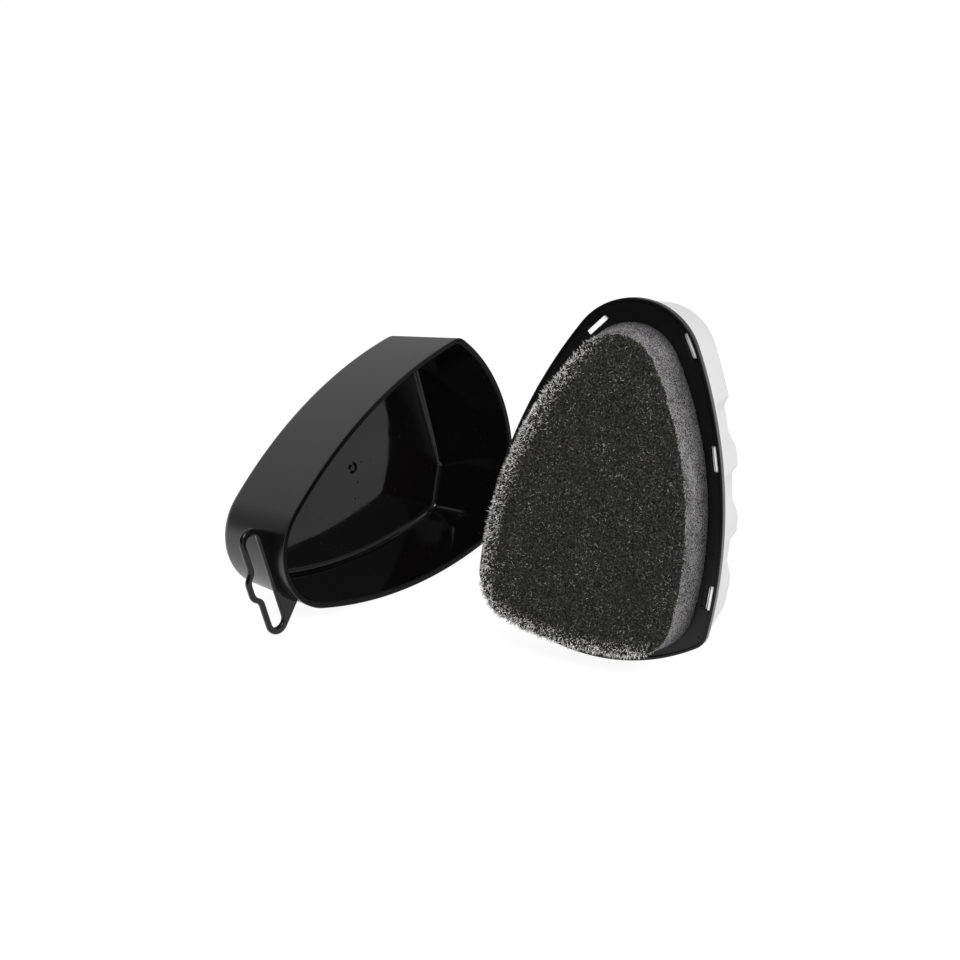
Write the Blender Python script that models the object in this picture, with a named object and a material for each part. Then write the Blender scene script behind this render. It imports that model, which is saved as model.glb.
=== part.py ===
"""Shoe shine sponge with its cap off.

The sponge unit is a white grip shell, a black carrier plate snapped over it and a foam pad with a
polishing face. The grip shell holds a soaked reservoir foam, whose polish reaches the pad through a
thin membrane and the feed holes in the plate. The unit stands on its wide end. The black cap lies
on its side next to it, and carries a hanging tab.

Each piece is modelled in the flat frame of its group: x across, y from the wide end to the tip, and
z out of the plate's face or the cap's mouth. Two empties then stand the groups up on the floor.
All sizes are in metres.
"""

from math import asin, atan2, cos, hypot, pi, radians, sin, sqrt, tan

import bmesh
import bpy
from mathutils import Matrix, Vector

# Outline of the carrier plate, which the cap and the grip shell share.
LENGTH = 0.115
HALF_WIDTH = 0.0394
WIDE_END_RADIUS = 0.0595
SIDE_RADIUS = 0.1558
TIP_RADIUS = 0.0216
PLATE_CORNER_RADIUS = 0.006
GRIP_CORNER_RADIUS = 0.010

# Gap kept between pieces that touch, and how far a cutter runs past the faces it opens.
FIT_GAP = 0.0003
CUT_PAST = 0.0010

# Carrier plate: its face is z = 0, and a thin lip stands up around it.
PLATE_THICKNESS = 0.0024
PLATE_EDGE_CHAMFER = 0.0003
LIP_HEIGHT = 0.0006
LIP_WIDTH = 0.00095

# Windows in the plate, and the tongues of the grip shell that show in them. The left window at the
# tip sits further in than the others.
WIDE_WINDOW_HEIGHT = 0.0292
MIDDLE_WINDOW_HEIGHT = 0.0727
TIP_WINDOW_SETBACK = 0.0099
LEFT_TIP_WINDOW_SETBACK = 0.0083
WINDOW_INSET = 0.0022
LEFT_TIP_WINDOW_INSET = 0.0042
WINDOW_LENGTH = 0.0084
WINDOW_WIDTH = 0.0021
LEDGE_LENGTH = 0.0062
LEDGE_WIDTH = 0.0011
LEDGE_DEPTH = 0.0008
TONGUE_TOP_DEPTH = 0.0008
TONGUE_FOOT_DEPTH = 0.0034
TONGUE_ROOT_DEPTH = 0.0052

# Feed holes under the pad.
FEED_HOLE_RADIUS = 0.0020
FEED_RING_RADIUS = 0.0160
FEED_HOLES_IN_RING = 6
FEED_CENTRE_HEIGHT = 0.0500

# Grip shell.
GRIP_DEPTH = 0.0310
GRIP_WALL = 0.0018
GRIP_BACK_THICKNESS = 0.0020
GRIP_BACK_FILLET = 0.0030
GRIP_INNER_FILLET = 0.0015
GRIP_BACK_INSET = 0.0034
FLANGE_INSET = 0.0004
FLANGE_THICKNESS = 0.0020
SHADOW_GROOVE_WIDTH = 0.0008
SHADOW_GROOVE_INSET = 0.0009

# Finger grooves along both sides of the grip shell.
FINGER_GROOVES = 3
FINGER_GROOVE_DEPTH = 0.0020
FINGER_GROOVE_PITCH = 0.0215
FINGER_GROOVE_SETBACK = 0.0270
FINGER_SHOULDER = 0.0030
FINGER_BOTTOM = 0.0070
FINGER_RAMP = 0.0070
FINGER_FADE_DEPTH = 0.0030

# Foam pad and its polishing face. The margins are what stays free of the plate around the pad.
PAD_WIDE_MARGIN = 0.0052
PAD_SIDE_MARGIN = 0.0052
PAD_TIP_MARGIN = 0.0072
PAD_WIDE_RADIUS = 0.0950
PAD_CORNER_RADIUS = 0.0160
PAD_SIDE_RADIUS = 0.1200
PAD_TIP_RADIUS = 0.0160
PAD_HEIGHT = 0.0160
FACE_THICKNESS = 0.0015
PAD_TAPER = 0.0024
FACE_EDGE = 0.0008

# Inner pieces.
MEMBRANE_THICKNESS = 0.0005
RESERVOIR_SIDE_GAP = 0.0010

# Cap. Its wall leans in a little at the sides and the tip, and more at the wide end, whose arc
# turns into a middle flat and a slanted flat on each side down at the floor.
CAP_DEPTH = 0.0336
CAP_WALL = 0.00205
CAP_FLOOR = 0.0018
CAP_SIDE_LEAN_IN = 0.00165
CAP_WIDE_LEAN_IN = 0.0032
CAP_TIP_LEAN_IN = 0.0017
CAP_FLAT_HALF_WIDTH = 0.0218
CAP_BACK_CORNER_RADIUS = 0.0053
CAP_EDGE_RADIUS = 0.0040
CAP_INNER_FILLET = 0.0024
RIM_ROUND = 0.00025
RIM_CHAMFER = 0.00045

# Hanging tab at the cap's tip, with a slot that has a bulge in its middle.
TAB_SETBACK = 0.0050
TAB_THICKNESS = 0.0018
TAB_STRIP = 0.0019
TAB_END_STRIP = 0.0026
TAB_CORNER_RADIUS = 0.0045
TAB_ARM_ANGLE = radians(52.0)
TAB_EDGE_BEVEL = 0.0004
SLOT_START = 0.0020
SLOT_HEIGHT = 0.0050
SLOT_HALF_LENGTH = 0.0174
SLOT_END_FLAT = 0.0002
BULGE_RISE = 0.0025
BULGE_FOOT = 0.0052
BULGE_ROUND = 0.0018

# How the two groups stand on the floor.
UNIT_SIDE_LEAN = radians(-6.13)
UNIT_HEADING = radians(-115.11)
CAP_HEADING = radians(-41.84)
CAP_ROLL = radians(-14.7)
CAP_PLACE_X = -0.0220
CAP_PLACE_Y = 0.0963

# Points along each arc of an outline: wide end, corner, side, tip.
PLAIN_STEPS = (8, 7, 10, 10)
GRIP_STEPS = (8, 7, 34, 10)
FOAM_STEPS = (8, 7, 10, 8)
EDGE_STEPS = 3
CORNER_STEPS = 5
HOLE_SIDES = 16

BLACK_PLASTIC = (0.012, 0.012, 0.013)
SATIN_BLACK = (0.020, 0.020, 0.021)
WHITE_PLASTIC = (0.80, 0.80, 0.80)
GREY_FOAM = (0.23, 0.23, 0.23)
DARK_FACE = (0.045, 0.045, 0.040)
SOAKED_FOAM = (0.55, 0.50, 0.36)
CLEAR_FILM = (0.75, 0.76, 0.78)


def circles_meet(first, first_radius, second, second_radius, side):
    """One of the two points where two circles cross; side picks it, +1 or -1."""
    span = second - first
    apart = span.length
    along = (first_radius ** 2 - second_radius ** 2 + apart ** 2) / (2 * apart)
    across = sqrt(first_radius ** 2 - along ** 2)
    unit = span / apart
    return first + unit * along + side * Vector((unit.y, -unit.x)) * across


def angle_of(vector):
    return atan2(vector.y, vector.x)


def no_dent(height):
    return 0.0


class Outline:
    """Rounded triangle, symmetric about x = 0, made of arcs that meet tangent to each other.

    With a flat half width, the arc of the wide end turns into a middle flat and two slanted ones.
    """

    def __init__(
            self, start, end, half_width, wide_radius, corner_radius, side_radius, tip_radius,
            flat_half_width=None):
        self.end = end
        self.flat_half_width = flat_half_width
        self.wide_centre = Vector((0.0, start + wide_radius))
        self.tip_centre = Vector((0.0, end - tip_radius))
        reach = side_radius - tip_radius
        across = side_radius - half_width
        self.side_centre = Vector((-across, self.tip_centre.y - sqrt(reach ** 2 - across ** 2)))
        self.corner_centre = circles_meet(
            self.wide_centre, wide_radius - corner_radius,
            self.side_centre, side_radius - corner_radius, -1)
        wide_to_corner = angle_of(self.corner_centre - self.wide_centre)
        corner_to_side = angle_of(self.corner_centre - self.side_centre)
        self.side_to_tip = angle_of(self.tip_centre - self.side_centre)
        self.side_radius = side_radius
        self.tip_radius = tip_radius
        self.arcs = (
            (self.wide_centre, wide_radius, -pi / 2, wide_to_corner),
            (self.corner_centre, corner_radius, wide_to_corner, corner_to_side),
            (self.side_centre, side_radius, corner_to_side, self.side_to_tip),
            (self.tip_centre, tip_radius, self.side_to_tip, pi / 2),
        )

    def ring(self, inset, steps=PLAIN_STEPS, dent=no_dent):
        """Points of the outline drawn in by inset, and by dent(y) more where that is wanted."""
        right = []
        for (centre, radius, first, last), count in zip(self.arcs, steps):
            for i in range(count):
                angle = first + (last - first) * i / count
                outward = Vector((cos(angle), sin(angle)))
                point = centre + radius * outward
                right.append(point - outward * (inset + dent(point.y)))
        if self.flat_half_width is not None:
            corner_start = steps[0]
            right[:corner_start] = self.wide_flats(inset, right[corner_start], corner_start)
        right.append(Vector((0.0, self.end - inset)))
        left = [Vector((-point.x, point.y)) for point in right[-2:0:-1]]
        return right + left

    def wide_flats(self, inset, corner, count):
        """Points along the middle flat and then along the slanted flat, up to the corner."""
        centre, radius, first, last = self.arcs[0]
        kink_angle = first + asin(self.flat_half_width / radius)
        slant_angle = (kink_angle + last) / 2
        down = Vector((cos(first), sin(first)))
        slanted = Vector((cos(slant_angle), sin(slant_angle)))
        kink = centre + radius * Vector((cos(kink_angle), sin(kink_angle)))
        kink -= inset * (down + slanted) / (1.0 + down.dot(slanted))
        middle = Vector((0.0, kink.y))
        half = count // 2
        flat = [middle.lerp(kink, i / half) for i in range(half)]
        slant = [kink.lerp(corner, i / (count - half)) for i in range(count - half)]
        return flat + slant

    def station(self, height, inset):
        """Point on the right side at this height along the outline, and its outward direction."""
        side_end = self.side_centre.y + self.side_radius * sin(self.side_to_tip)
        if height < side_end:
            centre, radius = self.side_centre, self.side_radius
        else:
            centre, radius = self.tip_centre, self.tip_radius
        angle = asin((height - centre.y) / radius)
        outward = Vector((cos(angle), sin(angle)))
        return centre + (radius - inset) * outward, outward


PLATE = Outline(0.0, LENGTH, HALF_WIDTH, WIDE_END_RADIUS, PLATE_CORNER_RADIUS, SIDE_RADIUS, TIP_RADIUS)
GRIP = Outline(0.0, LENGTH, HALF_WIDTH, WIDE_END_RADIUS, GRIP_CORNER_RADIUS, SIDE_RADIUS, TIP_RADIUS)
PAD = Outline(
    PAD_WIDE_MARGIN, LENGTH - PAD_TIP_MARGIN, HALF_WIDTH - PAD_SIDE_MARGIN, PAD_WIDE_RADIUS,
    PAD_CORNER_RADIUS, PAD_SIDE_RADIUS, PAD_TIP_RADIUS)
CAP_BACK = Outline(
    CAP_WIDE_LEAN_IN, LENGTH - CAP_TIP_LEAN_IN, HALF_WIDTH - CAP_SIDE_LEAN_IN,
    WIDE_END_RADIUS - CAP_WIDE_LEAN_IN, CAP_BACK_CORNER_RADIUS, SIDE_RADIUS - CAP_SIDE_LEAN_IN,
    TIP_RADIUS - CAP_TIP_LEAN_IN, CAP_FLAT_HALF_WIDTH)


def clear_scene():
    for item in list(bpy.data.objects):
        bpy.data.objects.remove(item)


def principled(name, colour, roughness, metallic=0.0):
    material = bpy.data.materials.new(name)
    material.use_nodes = True
    shader = material.node_tree.nodes["Principled BSDF"]
    shader.inputs["Base Color"].default_value = (*colour, 1.0)
    shader.inputs["Roughness"].default_value = roughness
    shader.inputs["Metallic"].default_value = metallic
    return material


def empty(name, parent=None):
    holder = bpy.data.objects.new(name, None)
    bpy.context.collection.objects.link(holder)
    holder.parent = parent
    return holder


def add_object(name, shape, parent, material=None):
    """Turn a bmesh into an object, with faces out and round edges shaded smooth."""
    bmesh.ops.recalc_face_normals(shape, faces=shape.faces)
    mesh = bpy.data.meshes.new(name)
    shape.to_mesh(mesh)
    shape.free()
    mesh.shade_smooth()
    mesh.set_sharp_from_angle(angle=radians(35.0))
    piece = bpy.data.objects.new(name, mesh)
    bpy.context.collection.objects.link(piece)
    piece.parent = parent
    if material:
        mesh.materials.append(material)
    return piece


def add_cutter(name, shape, parent):
    piece = add_object(name, shape, parent)
    piece.hide_render = True
    piece.display_type = "WIRE"
    return piece


def combine(piece, other, operation):
    modifier = piece.modifiers.new(other.name, "BOOLEAN")
    modifier.object = other
    modifier.operation = operation
    modifier.solver = "EXACT"


def loft(rings):
    """Closed solid through rings of equal count, each a list of points and a z, first one lowest."""
    shape = bmesh.new()
    loops = [[shape.verts.new((point.x, point.y, z)) for point in points] for points, z in rings]
    shape.faces.new(list(reversed(loops[0])))
    shape.faces.new(loops[-1])
    for lower, upper in zip(loops, loops[1:]):
        for i in range(len(lower)):
            j = (i + 1) % len(lower)
            shape.faces.new((lower[i], lower[j], upper[j], upper[i]))
    return shape


def bottom_edge(inset, bottom, radius):
    """Rounded outer edge from the underside up to the wall, as pairs of inset and z."""
    turns = [pi / 2 * i / EDGE_STEPS for i in range(EDGE_STEPS + 1)]
    return [(inset + radius - radius * sin(a), bottom + radius - radius * cos(a)) for a in turns]


def top_edge(inset, top, radius):
    """Rounded outer edge from the wall up to the top face."""
    turns = [pi / 2 * i / EDGE_STEPS for i in range(EDGE_STEPS + 1)]
    return [(inset + radius - radius * cos(a), top - radius + radius * sin(a)) for a in turns]


def inner_edge(inset, floor, radius):
    """Rounded inner edge from the cavity's wall down to its floor."""
    turns = [pi / 2 * i / EDGE_STEPS for i in range(EDGE_STEPS + 1)]
    return [(inset + radius - radius * cos(a), floor + radius - radius * sin(a)) for a in turns]


def prism(points, low, high):
    """Upright solid over a closed polygon."""
    return loft([(points, low), (points, high)])


def block(shape, centre, outward, length, width, low, high):
    """Add a box whose long side runs along the outline at a station."""
    along = Vector((-outward.y, outward.x))
    corners = []
    for z in (low, high):
        for a, b in ((-1, -1), (1, -1), (1, 1), (-1, 1)):
            spot = centre + along * (a * length / 2) + outward * (b * width / 2)
            corners.append(shape.verts.new((spot.x, spot.y, z)))
    sides = [(0, 1, 2, 3), (4, 5, 6, 7)]
    sides += [(i, (i + 1) % 4, (i + 1) % 4 + 4, i + 4) for i in range(4)]
    for side in sides:
        shape.faces.new([corners[i] for i in side])


def window_places():
    """Side (1 is right, -1 is left), height and inset of each window, and the edge its ledge is on.

    The edge is 1 for the inner one and -1 for the outer one.
    """
    for side in (1, -1):
        yield side, WIDE_WINDOW_HEIGHT, WINDOW_INSET, 1
        yield side, MIDDLE_WINDOW_HEIGHT, WINDOW_INSET, 1
    yield 1, LENGTH - TIP_WINDOW_SETBACK, WINDOW_INSET, 1
    yield -1, LENGTH - LEFT_TIP_WINDOW_SETBACK, LEFT_TIP_WINDOW_INSET, -1


def plate_spot(side, height, inset):
    """Point on one side of the plate at this height along its outline, and its outward direction."""
    point, outward = PLATE.station(height, inset)
    return Vector((side * point.x, point.y)), Vector((side * outward.x, outward.y))


def rounded(corners):
    """Closed polygon from corners given as x, y and rounding radius."""
    points = []
    count = len(corners)
    for i, (x, y, radius) in enumerate(corners):
        here = Vector((x, y))
        if radius == 0.0:
            points.append(here)
            continue
        before = (Vector(corners[i - 1][:2]) - here).normalized()
        after = (Vector(corners[(i + 1) % count][:2]) - here).normalized()
        half = before.angle(after) / 2
        middle = (before + after).normalized()
        centre = here + middle * (radius / sin(half))
        first = here + before * (radius / tan(half)) - centre
        last = here + after * (radius / tan(half)) - centre
        turn = (angle_of(last) - angle_of(first) + pi) % (2 * pi) - pi
        for step in range(CORNER_STEPS + 1):
            angle = angle_of(first) + turn * step / CORNER_STEPS
            points.append(centre + radius * Vector((cos(angle), sin(angle))))
    return points


def mirrored(corners):
    """A run of corners on the right side, followed by its mirror image."""
    return corners + [(-x, y, radius) for x, y, radius in reversed(corners)]


def finger_dent(height):
    """How far the grip's wall is drawn in at this height, from 0 to 1 of the groove depth."""
    below = LENGTH - FINGER_GROOVE_SETBACK - height
    if not 0.0 <= below < FINGER_GROOVES * FINGER_GROOVE_PITCH:
        return 0.0
    place = below % FINGER_GROOVE_PITCH
    if place < FINGER_SHOULDER:
        share = place / FINGER_SHOULDER
    elif place < FINGER_SHOULDER + FINGER_BOTTOM:
        share = 1.0
    else:
        share = max(0.0, 1.0 - (place - FINGER_SHOULDER - FINGER_BOTTOM) / FINGER_RAMP)
    return share * share * (3.0 - 2.0 * share)


def carrier_plate(parent):
    """Black plate with a lip, windows for the tongues and feed holes under the pad."""
    chamfer = PLATE_EDGE_CHAMFER
    profile = [
        (chamfer, -PLATE_THICKNESS),
        (0.0, chamfer - PLATE_THICKNESS),
        (0.0, LIP_HEIGHT - chamfer),
        (chamfer, LIP_HEIGHT),
        (LIP_WIDTH, LIP_HEIGHT),
        (LIP_WIDTH, 0.0),
    ]
    shape = loft([(PLATE.ring(inset), z) for inset, z in profile])
    plate = add_object("carrier_plate", shape, parent, principled("black_plastic", BLACK_PLASTIC, 0.45))
    windows = bmesh.new()
    ledges = bmesh.new()
    for side, height, inset, edge in window_places():
        point, outward = plate_spot(side, height, inset)
        block(windows, point, outward, WINDOW_LENGTH, WINDOW_WIDTH, -PLATE_THICKNESS - CUT_PAST, CUT_PAST)
        point, outward = plate_spot(side, height, inset + edge * WINDOW_WIDTH / 2)
        block(ledges, point, outward, LEDGE_LENGTH, 2 * LEDGE_WIDTH, -LEDGE_DEPTH, CUT_PAST)
    combine(plate, add_cutter("window_cutter", windows, parent), "DIFFERENCE")
    combine(plate, add_cutter("ledge_cutter", ledges, parent), "DIFFERENCE")
    holes = bmesh.new()
    for x, y in feed_hole_centres():
        made = bmesh.ops.create_cone(
            holes, cap_ends=True, segments=HOLE_SIDES, radius1=FEED_HOLE_RADIUS,
            radius2=FEED_HOLE_RADIUS, depth=PLATE_THICKNESS + 2 * CUT_PAST)
        bmesh.ops.translate(holes, verts=made["verts"], vec=(x, y, -PLATE_THICKNESS / 2))
    combine(plate, add_cutter("feed_hole_cutter", holes, parent), "DIFFERENCE")
    return plate


def feed_hole_centres():
    """One hole in the middle of the pad and a ring of holes around it."""
    yield 0.0, FEED_CENTRE_HEIGHT
    for i in range(FEED_HOLES_IN_RING):
        angle = 2 * pi * i / FEED_HOLES_IN_RING
        yield FEED_RING_RADIUS * cos(angle), FEED_CENTRE_HEIGHT + FEED_RING_RADIUS * sin(angle)


def grip_shell(parent):
    """White hollow grip with finger grooves, closed by the carrier plate."""
    rim = -PLATE_THICKNESS - FIT_GAP
    flange_end = rim - FLANGE_THICKNESS
    wall_start = flange_end - SHADOW_GROOVE_WIDTH
    fade_end = wall_start - FINGER_FADE_DEPTH
    wall_end = GRIP_BACK_FILLET - GRIP_DEPTH
    slope = (GRIP_BACK_INSET - SHADOW_GROOVE_INSET) / (wall_start - wall_end)

    def wall_inset(z):
        return SHADOW_GROOVE_INSET + slope * (wall_start - z)

    rows = [(inset, z, 1.0) for inset, z in bottom_edge(GRIP_BACK_INSET, -GRIP_DEPTH, GRIP_BACK_FILLET)]
    rows += [
        (wall_inset(fade_end), fade_end, 1.0),
        (SHADOW_GROOVE_INSET, wall_start, 0.0),
        (SHADOW_GROOVE_INSET, flange_end, 0.0),
        (FLANGE_INSET, flange_end, 0.0),
        (FLANGE_INSET, rim, 0.0),
        (SHADOW_GROOVE_INSET + GRIP_WALL, rim, 0.0),
        (SHADOW_GROOVE_INSET + GRIP_WALL, wall_start, 0.0),
        (wall_inset(fade_end) + GRIP_WALL, fade_end, 1.0),
    ]
    inner_floor = GRIP_BACK_THICKNESS - GRIP_DEPTH
    inner_inset = wall_inset(inner_floor + GRIP_INNER_FILLET) + GRIP_WALL
    rows += [(inset, z, 1.0) for inset, z in inner_edge(inner_inset, inner_floor, GRIP_INNER_FILLET)]
    rings = []
    for inset, z, share in rows:
        def dent(height, share=share):
            return share * FINGER_GROOVE_DEPTH * finger_dent(height)
        rings.append((GRIP.ring(inset, GRIP_STEPS, dent), z))
    material = principled("white_plastic", WHITE_PLASTIC, 0.35)
    shell = add_object("handle_shell", loft(rings), parent, material)
    tongues = bmesh.new()
    feet = bmesh.new()
    length = WINDOW_LENGTH - 2 * FIT_GAP
    width = WINDOW_WIDTH - 2 * FIT_GAP
    wall_middle = SHADOW_GROOVE_INSET + GRIP_WALL / 2
    for side, height, inset, _ in window_places():
        point, outward = plate_spot(side, height, inset)
        block(tongues, point, outward, length, width, -TONGUE_ROOT_DEPTH, -TONGUE_TOP_DEPTH)
        point, outward = plate_spot(side, height, (wall_middle + inset) / 2)
        block(feet, point, outward, length - 2 * FIT_GAP, inset - wall_middle,
              -TONGUE_ROOT_DEPTH + FIT_GAP, -TONGUE_FOOT_DEPTH)
    combine(shell, add_cutter("tongue_blocks", tongues, parent), "UNION")
    combine(shell, add_cutter("tongue_feet", feet, parent), "UNION")
    return shell


def reservoir_inset():
    return GRIP_BACK_INSET + FINGER_GROOVE_DEPTH + GRIP_WALL + RESERVOIR_SIDE_GAP


def membrane_bottom():
    return -PLATE_THICKNESS - FIT_GAP - MEMBRANE_THICKNESS


def reservoir_foam(parent):
    """Soaked foam block that fills the grip shell."""
    low = GRIP_BACK_THICKNESS - GRIP_DEPTH + FIT_GAP
    high = membrane_bottom() - FIT_GAP
    shape = prism(GRIP.ring(reservoir_inset(), FOAM_STEPS), low, high)
    return add_object("reservoir_foam", shape, parent, principled("soaked_foam", SOAKED_FOAM, 0.8))


def feed_membrane(parent):
    """Thin sheet between the reservoir foam and the feed holes."""
    high = -PLATE_THICKNESS - FIT_GAP
    shape = prism(GRIP.ring(reservoir_inset(), FOAM_STEPS), membrane_bottom(), high)
    return add_object("feed_membrane", shape, parent, principled("clear_film", CLEAR_FILM, 0.3))


def pad_inset(z):
    """The pad's sides lean in evenly from the plate up to the polishing face."""
    return PAD_TAPER * z / (PAD_HEIGHT + FACE_THICKNESS)


def foam_pad(parent):
    low = FIT_GAP
    high = PAD_HEIGHT - FIT_GAP
    rings = [(PAD.ring(pad_inset(z), FOAM_STEPS), z) for z in (low, high)]
    return add_object("foam_pad", loft(rings), parent, principled("grey_foam", GREY_FOAM, 0.95))


def polishing_face(parent):
    """Coarse dark layer on the pad, with a softly rounded edge."""
    top = PAD_HEIGHT + FACE_THICKNESS
    profile = [(pad_inset(PAD_HEIGHT), PAD_HEIGHT)] + top_edge(pad_inset(top - FACE_EDGE), top, FACE_EDGE)
    rings = [(PAD.ring(inset, FOAM_STEPS), z) for inset, z in profile]
    return add_object("polishing_face", loft(rings), parent, principled("dark_face", DARK_FACE, 0.95))


def tab_top():
    """Height of the tab's outer edge beside its bulge."""
    return LENGTH + SLOT_START + SLOT_HEIGHT + TAB_STRIP


def tab_corner():
    """Centre of the tab's rounded corner on the right side."""
    half_width = SLOT_HALF_LENGTH + TAB_END_STRIP
    return Vector((half_width - TAB_CORNER_RADIUS, tab_top() - TAB_CORNER_RADIUS))


def tab_blank():
    """Flat plate from inside the cap's wall at its tip out to the end of the hanging tab."""
    top = tab_top()
    arm = Vector((cos(TAB_ARM_ANGLE), sin(TAB_ARM_ANGLE)))
    touch = tab_corner() + TAB_CORNER_RADIUS * Vector((arm.y, -arm.x))
    apex = touch + arm * ((top - touch.y) / arm.y)
    wall_middle = TIP_RADIUS - CAP_WALL / 2
    from_tip = touch - PLATE.tip_centre
    along = from_tip.dot(arm)
    back = along - sqrt(along ** 2 - from_tip.length_squared + wall_middle ** 2)
    root = touch - arm * back
    bulge_foot = BULGE_FOOT + TAB_STRIP * tan(pi / 8)
    corners = [
        (root.x, root.y, 0.0),
        (apex.x, apex.y, TAB_CORNER_RADIUS),
        (bulge_foot, top, BULGE_ROUND),
        (bulge_foot - BULGE_RISE, top + BULGE_RISE, BULGE_ROUND),
    ]
    outer = rounded(mirrored(corners))
    first = angle_of(root - PLATE.tip_centre)
    inner = []
    for i in range(1, 2 * CORNER_STEPS):
        angle = (pi - first) + (2 * first - pi) * i / (2 * CORNER_STEPS)
        inner.append(PLATE.tip_centre + wall_middle * Vector((cos(angle), sin(angle))))
    return prism(outer + inner, -TAB_SETBACK - TAB_THICKNESS, -TAB_SETBACK)


def tab_slot():
    """Opening of the hanging tab: a long slot with a bulge in the middle of its outer edge."""
    low = LENGTH + SLOT_START
    high = low + SLOT_HEIGHT
    end_radius = (SLOT_HEIGHT - SLOT_END_FLAT) / 2
    corners = [
        (SLOT_HALF_LENGTH, low, end_radius),
        (SLOT_HALF_LENGTH, high, end_radius),
        (BULGE_FOOT, high, BULGE_ROUND),
        (BULGE_FOOT - BULGE_RISE, high + BULGE_RISE, BULGE_ROUND),
    ]
    bottom = -TAB_SETBACK - TAB_THICKNESS - CUT_PAST
    return prism(rounded(mirrored(corners)), bottom, CUT_PAST - TAB_SETBACK)


def cap_ring(inset, depth):
    """Ring of the cap's wall at a depth below the mouth, between the mouth's and the back's outline."""
    share = min(depth / (CAP_DEPTH - CAP_EDGE_RADIUS), 1.0)
    pairs = zip(PLATE.ring(inset), CAP_BACK.ring(inset))
    return [mouth.lerp(back, share) for mouth, back in pairs]


def cap(parent):
    """Black cup that closes over the pad, with a hanging tab at its tip."""
    profile = bottom_edge(0.0, -CAP_DEPTH, CAP_EDGE_RADIUS)
    profile += [(0.0, -RIM_ROUND), (RIM_ROUND, 0.0), (CAP_WALL - RIM_CHAMFER, 0.0), (CAP_WALL, -RIM_CHAMFER)]
    rings = [(cap_ring(inset, -z), z) for inset, z in profile]
    floor = CAP_FLOOR - CAP_DEPTH
    wall_foot = -floor - CAP_INNER_FILLET
    for inset, z in inner_edge(CAP_WALL, floor, CAP_INNER_FILLET):
        rings.append((cap_ring(inset, wall_foot), z))
    piece = add_object("cap", loft(rings), parent, principled("satin_black", SATIN_BLACK, 0.4))
    blank = add_cutter("tab_blank", tab_blank(), parent)
    combine(blank, add_cutter("slot_cutter", tab_slot(), parent), "DIFFERENCE")
    bevel = blank.modifiers.new("edges", "BEVEL")
    bevel.width = TAB_EDGE_BEVEL
    bevel.segments = 2
    bevel.limit_method = "ANGLE"
    bevel.angle_limit = radians(60.0)
    combine(piece, blank, "UNION")
    return piece


def standing(up, heading):
    """Rotation that turns this direction of a group's frame upright and its z to a heading."""
    up = up.normalized()
    level = (Vector((0.0, 0.0, 1.0)) - up * up.z).normalized()
    upright = Matrix((level, up.cross(level), up))
    return (Matrix.Rotation(heading, 3, "Z") @ upright).to_4x4()


def unit_back_lean():
    """Lean of the unit when the plate's back edge and the grip's back fillet both touch the floor."""
    run = GRIP_DEPTH - GRIP_BACK_FILLET - PLATE_THICKNESS + PLATE_EDGE_CHAMFER
    rise = GRIP_BACK_INSET + GRIP_BACK_FILLET
    return atan2(rise, run) - asin(GRIP_BACK_FILLET / hypot(rise, run))


def cap_tilt():
    """Tilt of the cap when its side wall lies flat on the floor."""
    return atan2(CAP_SIDE_LEAN_IN, CAP_DEPTH - CAP_EDGE_RADIUS)


def world_points(pieces):
    bpy.context.view_layer.update()
    depsgraph = bpy.context.evaluated_depsgraph_get()
    points = []
    for piece in pieces:
        evaluated = piece.evaluated_get(depsgraph)
        mesh = evaluated.to_mesh()
        points += [piece.matrix_world @ vertex.co for vertex in mesh.vertices]
        evaluated.to_mesh_clear()
    return points


def set_down(stand, pieces, rotation, x, y):
    """Turn a group, put its origin at x and y, and lower it until it touches the floor."""
    stand.matrix_world = rotation
    lowest = min(point.z for point in world_points(pieces))
    stand.matrix_world = Matrix.Translation((x, y, -lowest)) @ rotation


def main():
    clear_scene()
    root = empty("shoe_shine_sponge")
    unit_stand = empty("unit_stand", root)
    cap_stand = empty("cap_stand", root)
    unit = [
        carrier_plate(unit_stand),
        grip_shell(unit_stand),
        reservoir_foam(unit_stand),
        feed_membrane(unit_stand),
        foam_pad(unit_stand),
        polishing_face(unit_stand),
    ]
    lid = [cap(cap_stand)]
    lean = unit_back_lean()
    unit_up = Vector((cos(lean) * sin(UNIT_SIDE_LEAN), cos(lean) * cos(UNIT_SIDE_LEAN), sin(lean)))
    set_down(unit_stand, unit, standing(unit_up, UNIT_HEADING), 0.0, 0.0)
    tilt = cap_tilt()
    cap_up = Vector((cos(tilt) * cos(CAP_ROLL), cos(tilt) * sin(CAP_ROLL), sin(tilt)))
    set_down(cap_stand, lid, standing(cap_up, CAP_HEADING), CAP_PLACE_X, CAP_PLACE_Y)
    points = world_points(unit + lid)
    middle = [(min(p[i] for p in points) + max(p[i] for p in points)) / 2 for i in (0, 1)]
    root.location = (-middle[0], -middle[1], 0.0)
    bpy.context.view_layer.update()
    print("unit origin", [round(v, 5) for v in unit_stand.matrix_world.translation])
    print("cap origin", [round(v, 5) for v in cap_stand.matrix_world.translation])
    print("cap mouth direction", [round(v, 4) for v in cap_stand.matrix_world.col[2][:3]])


main()
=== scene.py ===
# %% [markdown]
# # The looks of a shoe shine sponge and its cap
#
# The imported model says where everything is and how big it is. This script dresses it: it makes finer
# meshes for the pieces that show, gives each one a finish, and sets up the camera and the light.
# Every size is in metres. Each group of pieces is made in its own flat frame, x across, y from the wide
# end to the tip and z out of the plate's face or the cap's mouth, and is then stood up on the floor.

from math import asin, atan2, cos, hypot, pi, radians, sin, sqrt, tan

import bmesh
import bpy
import numpy as np
from mathutils import Matrix, Vector, noise


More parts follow.
